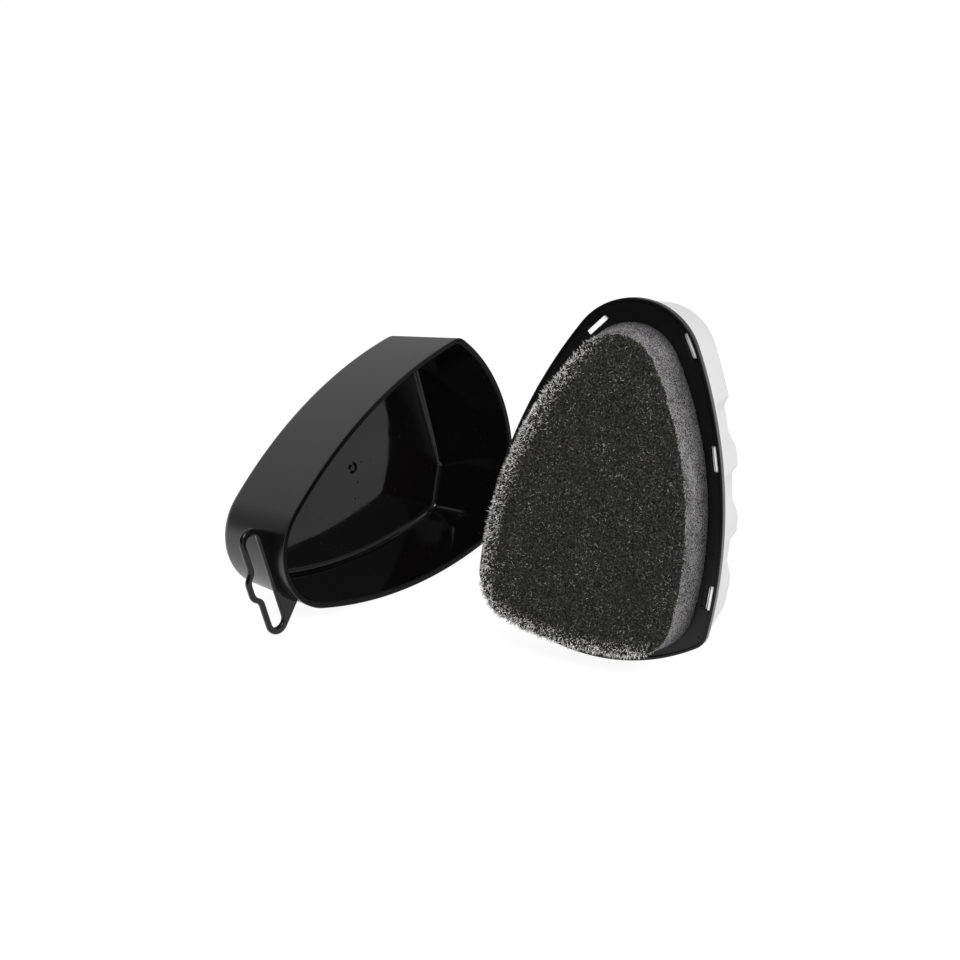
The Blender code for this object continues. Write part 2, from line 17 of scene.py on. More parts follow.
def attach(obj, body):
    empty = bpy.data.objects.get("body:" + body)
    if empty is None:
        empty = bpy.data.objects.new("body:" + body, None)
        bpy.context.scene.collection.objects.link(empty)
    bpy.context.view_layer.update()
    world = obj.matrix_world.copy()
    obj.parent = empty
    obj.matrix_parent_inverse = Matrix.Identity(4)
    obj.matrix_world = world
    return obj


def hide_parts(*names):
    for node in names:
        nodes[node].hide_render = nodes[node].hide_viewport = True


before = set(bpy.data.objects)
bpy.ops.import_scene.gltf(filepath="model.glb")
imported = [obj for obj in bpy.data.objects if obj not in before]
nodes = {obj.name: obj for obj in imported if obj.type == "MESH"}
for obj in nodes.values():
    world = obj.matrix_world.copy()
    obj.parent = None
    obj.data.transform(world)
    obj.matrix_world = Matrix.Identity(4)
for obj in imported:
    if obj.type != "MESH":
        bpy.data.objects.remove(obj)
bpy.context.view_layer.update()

# %% [markdown]
# ## Sizes
#
# These are the sizes of the model's own source, repeated by name. The outline is one rounded triangle
# that the plate, the grip and the cap share, so a change in one place would change all three.

# %% Sizes shared with the model
LENGTH = 0.115
HALF_WIDTH = 0.0394
WIDE_END_RADIUS = 0.0595
SIDE_RADIUS = 0.1558
TIP_RADIUS = 0.0216
PLATE_CORNER_RADIUS = 0.006
GRIP_CORNER_RADIUS = 0.010
FIT_GAP = 0.0003
CUT_PAST = 0.0010

PLATE_THICKNESS = 0.0024
PLATE_EDGE_CHAMFER = 0.0003
LIP_HEIGHT = 0.0006
LIP_WIDTH = 0.00095

GRIP_DEPTH = 0.0310
GRIP_WALL = 0.0018
GRIP_BACK_THICKNESS = 0.0020
GRIP_BACK_FILLET = 0.0030
GRIP_INNER_FILLET = 0.0015
GRIP_BACK_INSET = 0.0034

CAP_DEPTH = 0.0336
CAP_WALL = 0.00205
CAP_FLOOR = 0.0018
CAP_SIDE_LEAN_IN = 0.00165
CAP_WIDE_LEAN_IN = 0.0032
CAP_TIP_LEAN_IN = 0.0017
CAP_FLAT_HALF_WIDTH = 0.0218
CAP_BACK_CORNER_RADIUS = 0.0053
CAP_EDGE_RADIUS = 0.0040
CAP_INNER_FILLET = 0.0024

UNIT_SIDE_LEAN = radians(-6.13)
UNIT_HEADING = radians(-115.11)
CAP_HEADING = radians(-41.84)
CAP_ROLL = radians(-14.7)
print("plate", LENGTH, "by", 2 * HALF_WIDTH, "m")

# %% [markdown]
# ## The outline
#
# A rounded triangle looks simple, but an ellipse or a spline through a few points never has its even
# sides and tight corners. Here it is built like a drawing with compasses: a wide arc, a corner arc, a
# side arc and a tip arc, each tangent to the next. The right half is computed and the left mirrored.

# %% Rounded triangle made of tangent arcs
FINE_STEPS = (26, 14, 48, 26)
GRIP_FINE_STEPS = (26, 14, 150, 26)


def angle_of(vector):
    return atan2(vector.y, vector.x)


def circles_meet(first, first_radius, second, second_radius, side):
    """One of the two points where two circles cross; side picks it, +1 or -1."""
    span = second - first
    apart = span.length
    along = (first_radius ** 2 - second_radius ** 2 + apart ** 2) / (2 * apart)
    across = sqrt(first_radius ** 2 - along ** 2)
    unit = span / apart
    return first + unit * along + side * Vector((unit.y, -unit.x)) * across


class Outline:
    """Rounded triangle, symmetric about x = 0.

    With a flat half width, the arc of the wide end turns into a middle flat and two slanted ones.
    """

    def __init__(
            self, start, end, half_width, wide_radius, corner_radius, side_radius, tip_radius,
            flat_half_width=None):
        self.end = end
        self.flat_half_width = flat_half_width
        wide_centre = Vector((0.0, start + wide_radius))
        self.tip_centre = Vector((0.0, end - tip_radius))
        reach = side_radius - tip_radius
        across = side_radius - half_width
        self.side_centre = Vector((-across, self.tip_centre.y - sqrt(reach ** 2 - across ** 2)))
        corner_centre = circles_meet(
            wide_centre, wide_radius - corner_radius, self.side_centre, side_radius - corner_radius, -1)
        wide_to_corner = angle_of(corner_centre - wide_centre)
        corner_to_side = angle_of(corner_centre - self.side_centre)
        self.side_to_tip = angle_of(self.tip_centre - self.side_centre)
        self.side_radius = side_radius
        self.tip_radius = tip_radius
        self.arcs = (
            (wide_centre, wide_radius, -pi / 2, wide_to_corner),
            (corner_centre, corner_radius, wide_to_corner, corner_to_side),
            (self.side_centre, side_radius, corner_to_side, self.side_to_tip),
            (self.tip_centre, tip_radius, self.side_to_tip, pi / 2),
        )

    def ring(self, inset, steps=FINE_STEPS, dent=None):
        """Points of the outline drawn in by inset, and by dent(y) more where that is wanted."""
        right = []
        for (centre, radius, first, last), count in zip(self.arcs, steps):
            for i in range(count):
                angle = first + (last - first) * i / count
                outward = Vector((cos(angle), sin(angle)))
                point = centre + radius * outward
                more = dent(point.y) if dent else 0.0
                right.append(point - outward * (inset + more))
        if self.flat_half_width is not None:
            right[:steps[0]] = self.wide_flats(inset, right[steps[0]], steps[0])
        right.append(Vector((0.0, self.end - inset)))
        return right + [Vector((-point.x, point.y)) for point in right[-2:0:-1]]

    def wide_flats(self, inset, corner, count):
        """Points along the middle flat and then along the slanted flat, up to the corner."""
        centre, radius, first, last = self.arcs[0]
        kink_angle = first + asin(self.flat_half_width / radius)
        slant_angle = (kink_angle + last) / 2
        down = Vector((cos(first), sin(first)))
        slanted = Vector((cos(slant_angle), sin(slant_angle)))
        kink = centre + radius * Vector((cos(kink_angle), sin(kink_angle)))
        kink -= inset * (down + slanted) / (1.0 + down.dot(slanted))
        middle = Vector((0.0, kink.y))
        half = count // 2
        flat = [middle.lerp(kink, i / half) for i in range(half)]
        return flat + [kink.lerp(corner, i / (count - half)) for i in range(count - half)]

    def station(self, height, inset):
        """Point on the right side at this height along the outline, and its outward direction."""
        side_end = self.side_centre.y + self.side_radius * sin(self.side_to_tip)
        if height < side_end:
            centre, radius = self.side_centre, self.side_radius
        else:
            centre, radius = self.tip_centre, self.tip_radius
        angle = asin((height - centre.y) / radius)
        outward = Vector((cos(angle), sin(angle)))
        return centre + (radius - inset) * outward, outward


print("points in a ring", 2 * sum(FINE_STEPS))

# %% Outlines of the plate, the grip and the cap's floor


def cap_back(flat_half_width=None):
    """Outline at the cap's floor: the mouth's outline, drawn in by the lean of each wall."""
    return Outline(
        CAP_WIDE_LEAN_IN, LENGTH - CAP_TIP_LEAN_IN, HALF_WIDTH - CAP_SIDE_LEAN_IN,
        WIDE_END_RADIUS - CAP_WIDE_LEAN_IN, CAP_BACK_CORNER_RADIUS, SIDE_RADIUS - CAP_SIDE_LEAN_IN,
        TIP_RADIUS - CAP_TIP_LEAN_IN, flat_half_width)


PLATE = Outline(0.0, LENGTH, HALF_WIDTH, WIDE_END_RADIUS, PLATE_CORNER_RADIUS, SIDE_RADIUS, TIP_RADIUS)
GRIP = Outline(0.0, LENGTH, HALF_WIDTH, WIDE_END_RADIUS, GRIP_CORNER_RADIUS, SIDE_RADIUS, TIP_RADIUS)
CAP_BACK = cap_back(CAP_FLAT_HALF_WIDTH)
CAP_BACK_ROUND = cap_back()
print("widest at the cap's floor", round(2 * max(point.x for point in CAP_BACK.ring(0.0)), 4), "m")

# %% [markdown]
# ## How the two groups stand
#
# The sponge unit stands on its wide end and leans back on its grip. The cap lies on its side. The
# turning of each group is worked out from the same sizes as in the model, and its place is read from
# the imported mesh: turned back into the flat frame, the node's box has one corner that is known.

# %% Find both stands


def standing(up, heading):
    """Rotation that turns this direction of a group's frame upright and its z to a heading."""
    up = up.normalized()
    level = (Vector((0.0, 0.0, 1.0)) - up * up.z).normalized()
    return Matrix.Rotation(heading, 3, "Z") @ Matrix((level, up.cross(level), up))


def stand(rotation, node, lowest_z):
    """Matrix of a group whose node is centred on x = 0 and starts at y = 0 and at lowest_z."""
    spots = np.array([vertex.co for vertex in nodes[node].data.vertices]) @ np.array(rotation)
    low, high = spots.min(0), spots.max(0)
    place = rotation @ Vector(((low[0] + high[0]) / 2, low[1], low[2] - lowest_z))
    return Matrix.Translation(place) @ rotation.to_4x4()


run = GRIP_DEPTH - GRIP_BACK_FILLET - PLATE_THICKNESS + PLATE_EDGE_CHAMFER
rise = GRIP_BACK_INSET + GRIP_BACK_FILLET
lean = atan2(rise, run) - asin(GRIP_BACK_FILLET / hypot(rise, run))
unit_up = Vector((cos(lean) * sin(UNIT_SIDE_LEAN), cos(lean) * cos(UNIT_SIDE_LEAN), sin(lean)))
tilt = atan2(CAP_SIDE_LEAN_IN, CAP_DEPTH - CAP_EDGE_RADIUS)
cap_up = Vector((cos(tilt) * cos(CAP_ROLL), cos(tilt) * sin(CAP_ROLL), sin(tilt)))
UNIT_STAND = stand(standing(unit_up, UNIT_HEADING), "carrier_plate", -PLATE_THICKNESS)
CAP_STAND = stand(standing(cap_up, CAP_HEADING), "cap", -CAP_DEPTH)
print("unit stands at", [round(v, 5) for v in UNIT_STAND.translation])
print("cap stands at", [round(v, 5) for v in CAP_STAND.translation])

# %% [markdown]
# ## The camera
#
# The picture was taken from a good arm's length, slightly from above. A 60 mm lens on a 36 mm sensor
# and a pitch of about twenty degrees give the same narrowing of both outlines. The floor fills the
# whole picture, because the horizon is above its upper edge.

# %% Place the camera
CAMERA_PITCH = radians(19.53)
CAMERA_HEIGHT = 0.22364
CAMERA_FROM_UNIT = (-0.03235, -0.46399)
CAMERA_NEAREST = 0.01
SENSOR_MM = 36.0
LENS_MM = 60.0


def add_object(name, data):
    made = bpy.data.objects.new(name, data)
    bpy.context.scene.collection.objects.link(made)
    return made


camera = add_object("camera", bpy.data.cameras.new("camera"))
camera.data.sensor_width = SENSOR_MM
camera.data.lens = LENS_MM
camera.data.clip_start = CAMERA_NEAREST
camera.location = (
    UNIT_STAND.translation.x + CAMERA_FROM_UNIT[0],
    UNIT_STAND.translation.y + CAMERA_FROM_UNIT[1],
    CAMERA_HEIGHT)
camera.rotation_euler = (pi / 2 - CAMERA_PITCH, 0.0, 0.0)
bpy.context.scene.camera = camera
print("camera at", [round(v, 4) for v in camera.location])

# %% [markdown]
# ## Writing materials as sums
#
# A material is a web of nodes. Wired by hand it is hard to read, so a small class wraps a node's
# output: adding or multiplying two of them adds the Math node for it. All other nodes come from one
# method, which takes the node's type, its settings and what goes into its sockets. The room around
# the object is such a web too, so that method has a class of its own.

# %% A shader value and a web of nodes


def math_operator(operation, reflected=False):
    """Method that adds a Math node for one of Python's operators."""
    def apply(value, other):
        pair = (other, value) if reflected else (value, other)
        return value.web.node("ShaderNodeMath", {"operation": operation}, dict(enumerate(pair)))["Value"]
    return apply


class Value:
    """A number that changes over the surface. Arithmetic on it adds Math nodes."""

    __add__ = math_operator("ADD")
    __radd__ = math_operator("ADD", reflected=True)
    __sub__ = math_operator("SUBTRACT")
    __rsub__ = math_operator("SUBTRACT", reflected=True)
    __mul__ = math_operator("MULTIPLY")
    __rmul__ = math_operator("MULTIPLY", reflected=True)

    def __init__(self, web, socket):
        self.web = web
        self.socket = socket


class Outputs:
    """The outputs of one node, by name or number."""

    def __init__(self, web, node):
        self.web = web
        self.node = node

    def __getitem__(self, name):
        return Value(self.web, self.node.outputs[name])


class Web:
    """The nodes of one material, or of the room."""

    def __init__(self, tree):
        self.tree = tree

    def put(self, socket, value):
        """Link a shader value to a socket, or set a constant on it."""
        if isinstance(value, Value):
            self.tree.links.new(value.socket, socket)
        else:
            socket.default_value = value

    def node(self, kind, settings=None, inputs=None):
        made = self.tree.nodes.new(kind)
        for name, value in (settings or {}).items():
            setattr(made, name, value)
        for name, value in (inputs or {}).items():
            self.put(made.inputs[name], value)
        return Outputs(self, made)


print("a Value adds Math nodes for + - and *, from either side:", hasattr(Value, "__rsub__"))

# %% A finish that is being made
MILLIMETRES = 1000.0


class Finish(Web):
    """A material with a Principled shader, built up node by node."""

    def __init__(self, name, **shader_values):
        self.material = bpy.data.materials.new(name)
        self.material.use_nodes = True
        super().__init__(self.material.node_tree)
        self.shader = self.tree.nodes["Principled BSDF"]
        for socket, value in shader_values.items():
            self.shader.inputs[socket.replace("_", " ")].default_value = value

    def feed(self, socket, value):
        """Give a socket of the Principled shader a value that changes over the surface."""
        self.put(self.shader.inputs[socket], value)

    def place(self):
        """Where a point is, in millimetres, in its piece's frame (the room's, once it is settled)."""
        inputs = {"Vector": self.node("ShaderNodeTexCoord")["Object"], "Scale": MILLIMETRES}
        return self.node("ShaderNodeVectorMath", {"operation": "SCALE"}, inputs)["Vector"]

    def cloud(self, vector, scale, detail, roughness=0.5):
        """Soft noise from 0 to 1, with about this many patches to a millimetre."""
        inputs = {"Vector": vector, "Scale": scale, "Detail": detail, "Roughness": roughness}
        return self.node("ShaderNodeTexNoise", None, inputs)["Fac"]

    def spread(self, value, low, high):
        """How far a value is on the way from low to high, from 0 to 1 and held at both ends."""
        inputs = {"Value": value, "From Min": low, "From Max": high}
        return self.node("ShaderNodeMapRange", {"clamp": True}, inputs)["Result"]

    def blend(self, share, first, second):
        """Colour between two colours."""
        inputs = {"Factor": share, 6: (*first, 1.0), 7: (*second, 1.0)}
        return self.node("ShaderNodeMix", {"data_type": "RGBA"}, inputs)[2]

    def bump(self, height, distance):
        inputs = {"Height": height, "Distance": distance}
        self.feed("Normal", self.node("ShaderNodeBump", None, inputs)["Normal"])


print("noise is scaled in steps of", 1.0 / MILLIMETRES, "m")

# %% [markdown]
# ## Black and white plastic
#
# The cap is one polypropylene moulding. Its outside has the fine satin of an etched mould, and its
# inside is glossier, because that half of the mould was polished. The floor of the cap mirrors the
# surroundings, so small smudges and pits matter there. The flat land of the rim looks duller than
# both. The carrier plate is black too, with a soft shine. Black plastic gets almost all its
# brightness from gloss, so its base colour is close to zero, and the roughness and the index of
# refraction do the work. The grip is white, and its snap tongues get a whiter colour: painted light.

# %% Plastic finishes


def satin_black():
    made = Finish("satin_black_outside", Base_Color=(0.0030, 0.0030, 0.0031, 1.0), IOR=1.56)
    spot = made.place()
    grain = made.cloud(spot, scale=3.2, detail=4.0, roughness=0.6)
    scuffs = made.spread(made.cloud(spot, scale=0.045, detail=5.0, roughness=0.62), 0.50, 0.72)
    made.feed("Roughness", 0.27 + 0.07 * grain + 0.06 * scuffs)
    made.bump(grain, distance=0.00002)
    return made.material


def glossy_black():
    made = Finish("glossy_black_inside", Base_Color=(0.0030, 0.0025, 0.0028, 1.0), IOR=1.36)
    spot = made.place()
    smudge = made.spread(made.cloud(spot, scale=0.07, detail=6.0, roughness=0.65), 0.42, 0.70)
    cells = made.node("ShaderNodeTexVoronoi", None, {"Vector": spot, "Scale": 0.34, "Randomness": 1.0})
    sparse = made.spread(made.cloud(spot, scale=0.11, detail=2.0), 0.52, 0.58)
    pits = (1.0 - made.spread(cells["Distance"], 0.06, 0.13)) * sparse
    made.feed("Roughness", 0.045 + 0.07 * smudge + 0.5 * pits)
    made.bump(made.cloud(spot, scale=0.16, detail=3.0) * 0.35 - pits, distance=0.00006)
    return made.material


def dull_black():
    made = Finish("dull_black_rim", Base_Color=(0.0020, 0.0019, 0.0020, 1.0), IOR=1.17)
    grain = made.cloud(made.place(), scale=3.2, detail=4.0, roughness=0.6)
    made.feed("Roughness", 0.20 + 0.10 * grain)
    return made.material


def plate_black():
    made = Finish("black_plastic_plate", Base_Color=(0.0022, 0.0019, 0.0020, 1.0), IOR=1.38)
    spot = made.place()
    flow = made.cloud(spot, scale=0.12, detail=4.0, roughness=0.6)
    grain = made.cloud(spot, scale=2.4, detail=3.0, roughness=0.6)
    made.feed("Roughness", 0.22 + 0.12 * flow + 0.05 * grain)
    made.bump(flow * 0.8 + grain * 0.1, distance=0.00005)
    return made.material


def grip_white():
    made = Finish("white_plastic_grip", IOR=1.50)
    spot = made.place()
    flow = made.cloud(spot, scale=0.06, detail=4.0, roughness=0.6)
    dust = made.spread(made.cloud(spot, scale=1.1, detail=3.0, roughness=0.7), 0.66, 0.74)
    made.feed("Base Color", made.blend(dust * 0.15, (0.59, 0.582, 0.587), (0.48, 0.47, 0.46)))
    made.feed("Roughness", 0.30 + 0.12 * flow)
    made.bump(flow, distance=0.00004)
    return made.material


SATIN_BLACK = satin_black()
GLOSSY_BLACK = glossy_black()
DULL_BLACK = dull_black()
PLATE_BLACK = plate_black()
GRIP_WHITE = grip_white()
# Painted light: the snap tongues get a much whiter base colour than the grip, for the light that reaches
# them through the plate's windows.
TONGUE_PAINTED_LIGHT = Finish(
    "white_plastic_tongues_painted_light", Base_Color=(0.93, 0.93, 0.93, 1.0), Roughness=0.35).material
plastics = (SATIN_BLACK, GLOSSY_BLACK, DULL_BLACK, PLATE_BLACK, GRIP_WHITE, TONGUE_PAINTED_LIGHT)
print("plastic finishes", [plastic.name for plastic in plastics])

# %% [markdown]
# ## Building by rings
#
# Each moulding is a stack of outlines, one above the other, with a face between neighbouring points:
# a loft. It starts on the outside of the bottom, goes up the wall, over the rim and down the inside,
# so one closed skin makes a wall of real thickness. A Weighted Normal modifier keeps the large flat
# faces flat to the light where they run into a rounded edge. Very small edges are rounded by three
# points only, and the middle one lies 0.3 of the radius in from both faces.

# %% Rings and rounded edges
EDGE_STEPS = 8
EDGE_MIDDLE = 0.3


def quarter_turns():
    return [pi / 2 * i / EDGE_STEPS for i in range(EDGE_STEPS + 1)]


def bottom_edge(inset, bottom, radius):
    """Rounded outer edge from the underside up to the wall, as pairs of inset and z."""
    return [(inset + radius - radius * sin(a), bottom + radius - radius * cos(a)) for a in quarter_turns()]


def top_edge(inset, top, radius):
    """Rounded outer edge from the wall up to the top face."""
    return [(inset + radius - radius * cos(a), top - radius + radius * sin(a)) for a in quarter_turns()]


def inner_edge(inset, floor, radius):
    """Rounded inner edge from the cavity's wall down to its floor."""
    return [(inset + radius - radius * cos(a), floor + radius - radius * sin(a)) for a in quarter_turns()]


def loft(rings, inner_from=None, shape=None):
    """Closed solid through rings of equal count; faces from ring inner_from on get material 1."""
    if shape is None:
        shape = bmesh.new()
    loops = [[shape.verts.new((point.x, point.y, z)) for point in points] for points, z in rings]
    shape.faces.new(list(reversed(loops[0])))
    last = shape.faces.new(loops[-1])
    for row, (lower, upper) in enumerate(zip(loops, loops[1:])):
        for i in range(len(lower)):
            j = (i + 1) % len(lower)
            face = shape.faces.new((lower[i], lower[j], upper[j], upper[i]))
            if inner_from is not None and row >= inner_from:
                face.material_index = 1
    if inner_from is not None:
        last.material_index = 1
    return shape


def prism(points, low, high, shape=None):
    return loft([(points, low), (points, high)], shape=shape)


print("each rounded edge has", EDGE_STEPS, "steps")

# %% Pieces, cuts and joins
SHARP_ANGLE = radians(32.0)


def add_piece(name, shape, stand_at, *finishes):
    """Turn a bmesh into a piece that stands with its group."""
    bmesh.ops.recalc_face_normals(shape, faces=shape.faces)
    mesh = bpy.data.meshes.new(name)
    shape.to_mesh(mesh)
    shape.free()
    mesh.shade_smooth()
    mesh.set_sharp_from_angle(angle=SHARP_ANGLE)
    piece = add_object(name, mesh)
    piece.matrix_world = stand_at
    for finish in finishes:
        mesh.materials.append(finish)
    return piece


def combine(piece, other, operation):
    """Cut another piece out of a piece or join it on, and keep only the result."""
    modifier = piece.modifiers.new("combine", "BOOLEAN")
    modifier.object = other
    modifier.operation = operation
    modifier.solver = "EXACT"
    bake_modifiers(piece)
    bpy.data.objects.remove(other)


def reshape(piece, shape, operation, *finishes):
    """The same with a shape that isn't a piece yet."""
    combine(piece, add_piece("tool", shape, piece.matrix_world, *finishes), operation)


def settle(piece):
    """Move a piece's stand into its mesh, so that its box is measured without a turn."""
    piece.data.transform(piece.matrix_world)
    piece.matrix_world = Matrix.Identity(4)


def bake_modifiers(piece):
    bpy.context.view_layer.update()
    depsgraph = bpy.context.evaluated_depsgraph_get()
    mesh = bpy.data.meshes.new_from_object(piece.evaluated_get(depsgraph))
    piece.modifiers.clear()
    old = piece.data
    piece.data = mesh
    mesh.name = old.name
    bpy.data.meshes.remove(old)


def keep_flats_flat(piece):
    piece.data.shade_smooth()
    piece.data.set_sharp_from_angle(angle=SHARP_ANGLE)
    weighted = piece.modifiers.new("flat faces stay flat", "WEIGHTED_NORMAL")
    weighted.keep_sharp = True


print("edges are sharp from", round(SHARP_ANGLE, 2), "radians")

# %% Polygons with rounded corners, and discs
CIRCLE_SIDES = 40


def rounded(corners, steps=10):
    """Closed polygon from corners given as x, y and rounding radius."""
    points = []
    for i, (x, y, radius) in enumerate(corners):
        here = Vector((x, y))
        if radius == 0.0:
            points.append(here)
            continue
        before = (Vector(corners[i - 1][:2]) - here).normalized()
        after = (Vector(corners[(i + 1) % len(corners)][:2]) - here).normalized()
        half = before.angle(after) / 2
        centre = here + (before + after).normalized() * (radius / sin(half))
        first = here + before * (radius / tan(half)) - centre
        last = here + after * (radius / tan(half)) - centre
        turn = (angle_of(last) - angle_of(first) + pi) % (2 * pi) - pi
        for step in range(steps + 1):
            angle = angle_of(first) + turn * step / steps
            points.append(centre + radius * Vector((cos(angle), sin(angle))))
    return points


def mirrored(corners):
    return corners + [(-x, y, radius) for x, y, radius in reversed(corners)]


def disc(shape, x, y, low, high, radius, sides=CIRCLE_SIDES):
    made = bmesh.ops.create_cone(
        shape, cap_ends=True, segments=sides, radius1=radius, radius2=radius, depth=high - low)
    bmesh.ops.translate(shape, verts=made["verts"], vec=(x, y, (low + high) / 2))


print("a round hole has", CIRCLE_SIDES, "sides")

# %% [markdown]
# ## The cap
#
# The cap is a cup with a wall 2 mm thick that leans in a little towards its floor, more at the wide
# end. That end has three flats at the floor, which fade out on the way up to the round mouth. Outside
# the cup is satin and inside it is glossy, so the loft says from which ring on the faces are the
# inside. The flat land of the rim then gets the dull finish. In the floor is the round mark that the
# mould's feed point leaves.

# %% Cup of the cap
RIM_ROUND = 0.00025
RIM_CHAMFER = 0.00035
WALL_ROWS = 10
FLATS_GROW = 3.0
GATE_MARK = (0.0, 0.0512)
GATE_MARK_RADIUS = 0.0022
GATE_MARK_INNER_RADIUS = 0.0009
GATE_MARK_DEPTH = 0.0011


def cap_ring(inset, depth):
    """Ring of the cap's wall at a depth below the mouth; its flats grow towards the floor."""
    share = min(depth / (CAP_DEPTH - CAP_EDGE_RADIUS), 1.0)
    rings = zip(PLATE.ring(inset), CAP_BACK_ROUND.ring(inset), CAP_BACK.ring(inset))
    return [mouth.lerp(back.lerp(flat, share ** FLATS_GROW), share) for mouth, back, flat in rings]


def cap_cup():
    profile = bottom_edge(0.0, -CAP_DEPTH, CAP_EDGE_RADIUS)
    wall_top = CAP_DEPTH - CAP_EDGE_RADIUS
    profile += [(0.0, -wall_top * (1.0 - i / WALL_ROWS)) for i in range(1, WALL_ROWS)]
    profile += [
        (0.0, -RIM_ROUND),
        (RIM_ROUND * EDGE_MIDDLE, -RIM_ROUND * EDGE_MIDDLE),
        (RIM_ROUND, 0.0),
        (CAP_WALL - RIM_CHAMFER, 0.0),
        (CAP_WALL, -RIM_CHAMFER),
    ]
    inside = len(profile) - 3
    rings = [(cap_ring(inset, -z), z) for inset, z in profile]
    floor = CAP_FLOOR - CAP_DEPTH
    wall_foot = -floor - CAP_INNER_FILLET
    for i in range(1, WALL_ROWS):
        depth = wall_foot * i / WALL_ROWS
        rings.append((cap_ring(CAP_WALL, depth), -depth))
    for inset, z in inner_edge(CAP_WALL, floor, CAP_INNER_FILLET):
        rings.append((cap_ring(inset, wall_foot), z))
    shell = add_piece("cap_shell", loft(rings, inside), CAP_STAND, SATIN_BLACK, GLOSSY_BLACK, DULL_BLACK)
    for face in shell.data.polygons:
        if face.material_index == 1 and face.center.z > -RIM_CHAMFER:
            face.material_index = 2
    return shell


def ring_cutter(x, y, low, high, outer, inner):
    """Round groove cutter: a disc with a hole."""
    shape = bmesh.new()
    angles = [2 * pi * i / CIRCLE_SIDES for i in range(CIRCLE_SIDES)]
    loops = [[shape.verts.new((x + radius * cos(a), y + radius * sin(a), z)) for a in angles]
             for radius, z in ((inner, low), (outer, low), (outer, high), (inner, high))]
    for first, second in zip(loops, loops[1:] + loops[:1]):
        for i in range(CIRCLE_SIDES):
            j = (i + 1) % CIRCLE_SIDES
            shape.faces.new((first[i], first[j], second[j], second[i]))
    return shape


cap_shell = cap_cup()
cap_floor = CAP_FLOOR - CAP_DEPTH
gate_groove = ring_cutter(
    *GATE_MARK, cap_floor - GATE_MARK_DEPTH, cap_floor + CUT_PAST, GATE_MARK_RADIUS,
    GATE_MARK_INNER_RADIUS)
reshape(cap_shell, gate_groove, "DIFFERENCE", GLOSSY_BLACK)
print("cap shell faces", len(cap_shell.data.polygons))

# %% [markdown]
# ## The hanging tab
#
# The tab is moulded on at the tip, set back from the rim. Its slot takes a shop hook, and a bulge in
# the middle of the slot centres it. The outline is drawn with straight lines and rounded corners, and
# a bevel softens all its edges before it is joined to the cup. It is glossy all over, so that it looks
# as dark as the rim beside it.

# %% Tab with its slot
TAB_SETBACK = 0.0050
TAB_THICKNESS = 0.0018
TAB_STRIP = 0.0019
TAB_END_STRIP = 0.0026
TAB_CORNER_RADIUS = 0.0045
TAB_ARM_ANGLE = radians(52.0)
TAB_EDGE_BEVEL = 0.0006
TAB_EDGE_STEPS = 3
TAB_EDGE_FROM = radians(60.0)
TAB_ROOT_STEPS = 24
SLOT_START = 0.0020
SLOT_HEIGHT = 0.0050
SLOT_HALF_LENGTH = 0.0174
SLOT_END_FLAT = 0.0002
BULGE_RISE = 0.0025
BULGE_FOOT = 0.0052
BULGE_ROUND = 0.0034
TAB_TOP = LENGTH + SLOT_START + SLOT_HEIGHT + TAB_STRIP


def tab_outline():
    corner_x = SLOT_HALF_LENGTH + TAB_END_STRIP - TAB_CORNER_RADIUS
    corner = Vector((corner_x, TAB_TOP - TAB_CORNER_RADIUS))
    arm = Vector((cos(TAB_ARM_ANGLE), sin(TAB_ARM_ANGLE)))
    touch = corner + TAB_CORNER_RADIUS * Vector((arm.y, -arm.x))
    apex = touch + arm * ((TAB_TOP - touch.y) / arm.y)
    wall_middle = TIP_RADIUS - CAP_WALL / 2
    from_tip = touch - PLATE.tip_centre
    along = from_tip.dot(arm)
    root = touch - arm * (along - sqrt(along ** 2 - from_tip.length_squared + wall_middle ** 2))
    foot = BULGE_FOOT + TAB_STRIP * tan(pi / 8)
    outer = rounded(mirrored([
        (root.x, root.y, 0.0),
        (apex.x, apex.y, TAB_CORNER_RADIUS),
        (foot, TAB_TOP, BULGE_ROUND),
        (foot - BULGE_RISE, TAB_TOP + BULGE_RISE, BULGE_ROUND),
    ]))
    first = angle_of(root - PLATE.tip_centre)
    inner = []
    for i in range(1, TAB_ROOT_STEPS):
        angle = (pi - first) + (2 * first - pi) * i / TAB_ROOT_STEPS
        inner.append(PLATE.tip_centre + wall_middle * Vector((cos(angle), sin(angle))))
    return outer + inner


def slot_outline():
    low = LENGTH + SLOT_START
    high = low + SLOT_HEIGHT
    end_radius = (SLOT_HEIGHT - SLOT_END_FLAT) / 2
    return rounded(mirrored([
        (SLOT_HALF_LENGTH, low, end_radius),
        (SLOT_HALF_LENGTH, high, end_radius),
        (BULGE_FOOT, high, BULGE_ROUND),
        (BULGE_FOOT - BULGE_RISE, high + BULGE_RISE, BULGE_ROUND),
    ]))


tab_low = -TAB_SETBACK - TAB_THICKNESS
tab = add_piece("tab", prism(tab_outline(), tab_low, -TAB_SETBACK), CAP_STAND, SATIN_BLACK, GLOSSY_BLACK)
slot_cutter = prism(slot_outline(), tab_low - CUT_PAST, CUT_PAST - TAB_SETBACK)
reshape(tab, slot_cutter, "DIFFERENCE", SATIN_BLACK, GLOSSY_BLACK)
soft_edges = tab.modifiers.new("soft edges", "BEVEL")
soft_edges.width = TAB_EDGE_BEVEL
soft_edges.segments = TAB_EDGE_STEPS
soft_edges.limit_method = "ANGLE"
soft_edges.angle_limit = TAB_EDGE_FROM
bake_modifiers(tab)
for face in tab.data.polygons:
    face.material_index = 1
combine(cap_shell, tab, "UNION")
keep_flats_flat(cap_shell)
settle(cap_shell)
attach(cap_shell, "cap")
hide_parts("cap")
print("cap with tab faces", len(cap_shell.data.polygons))

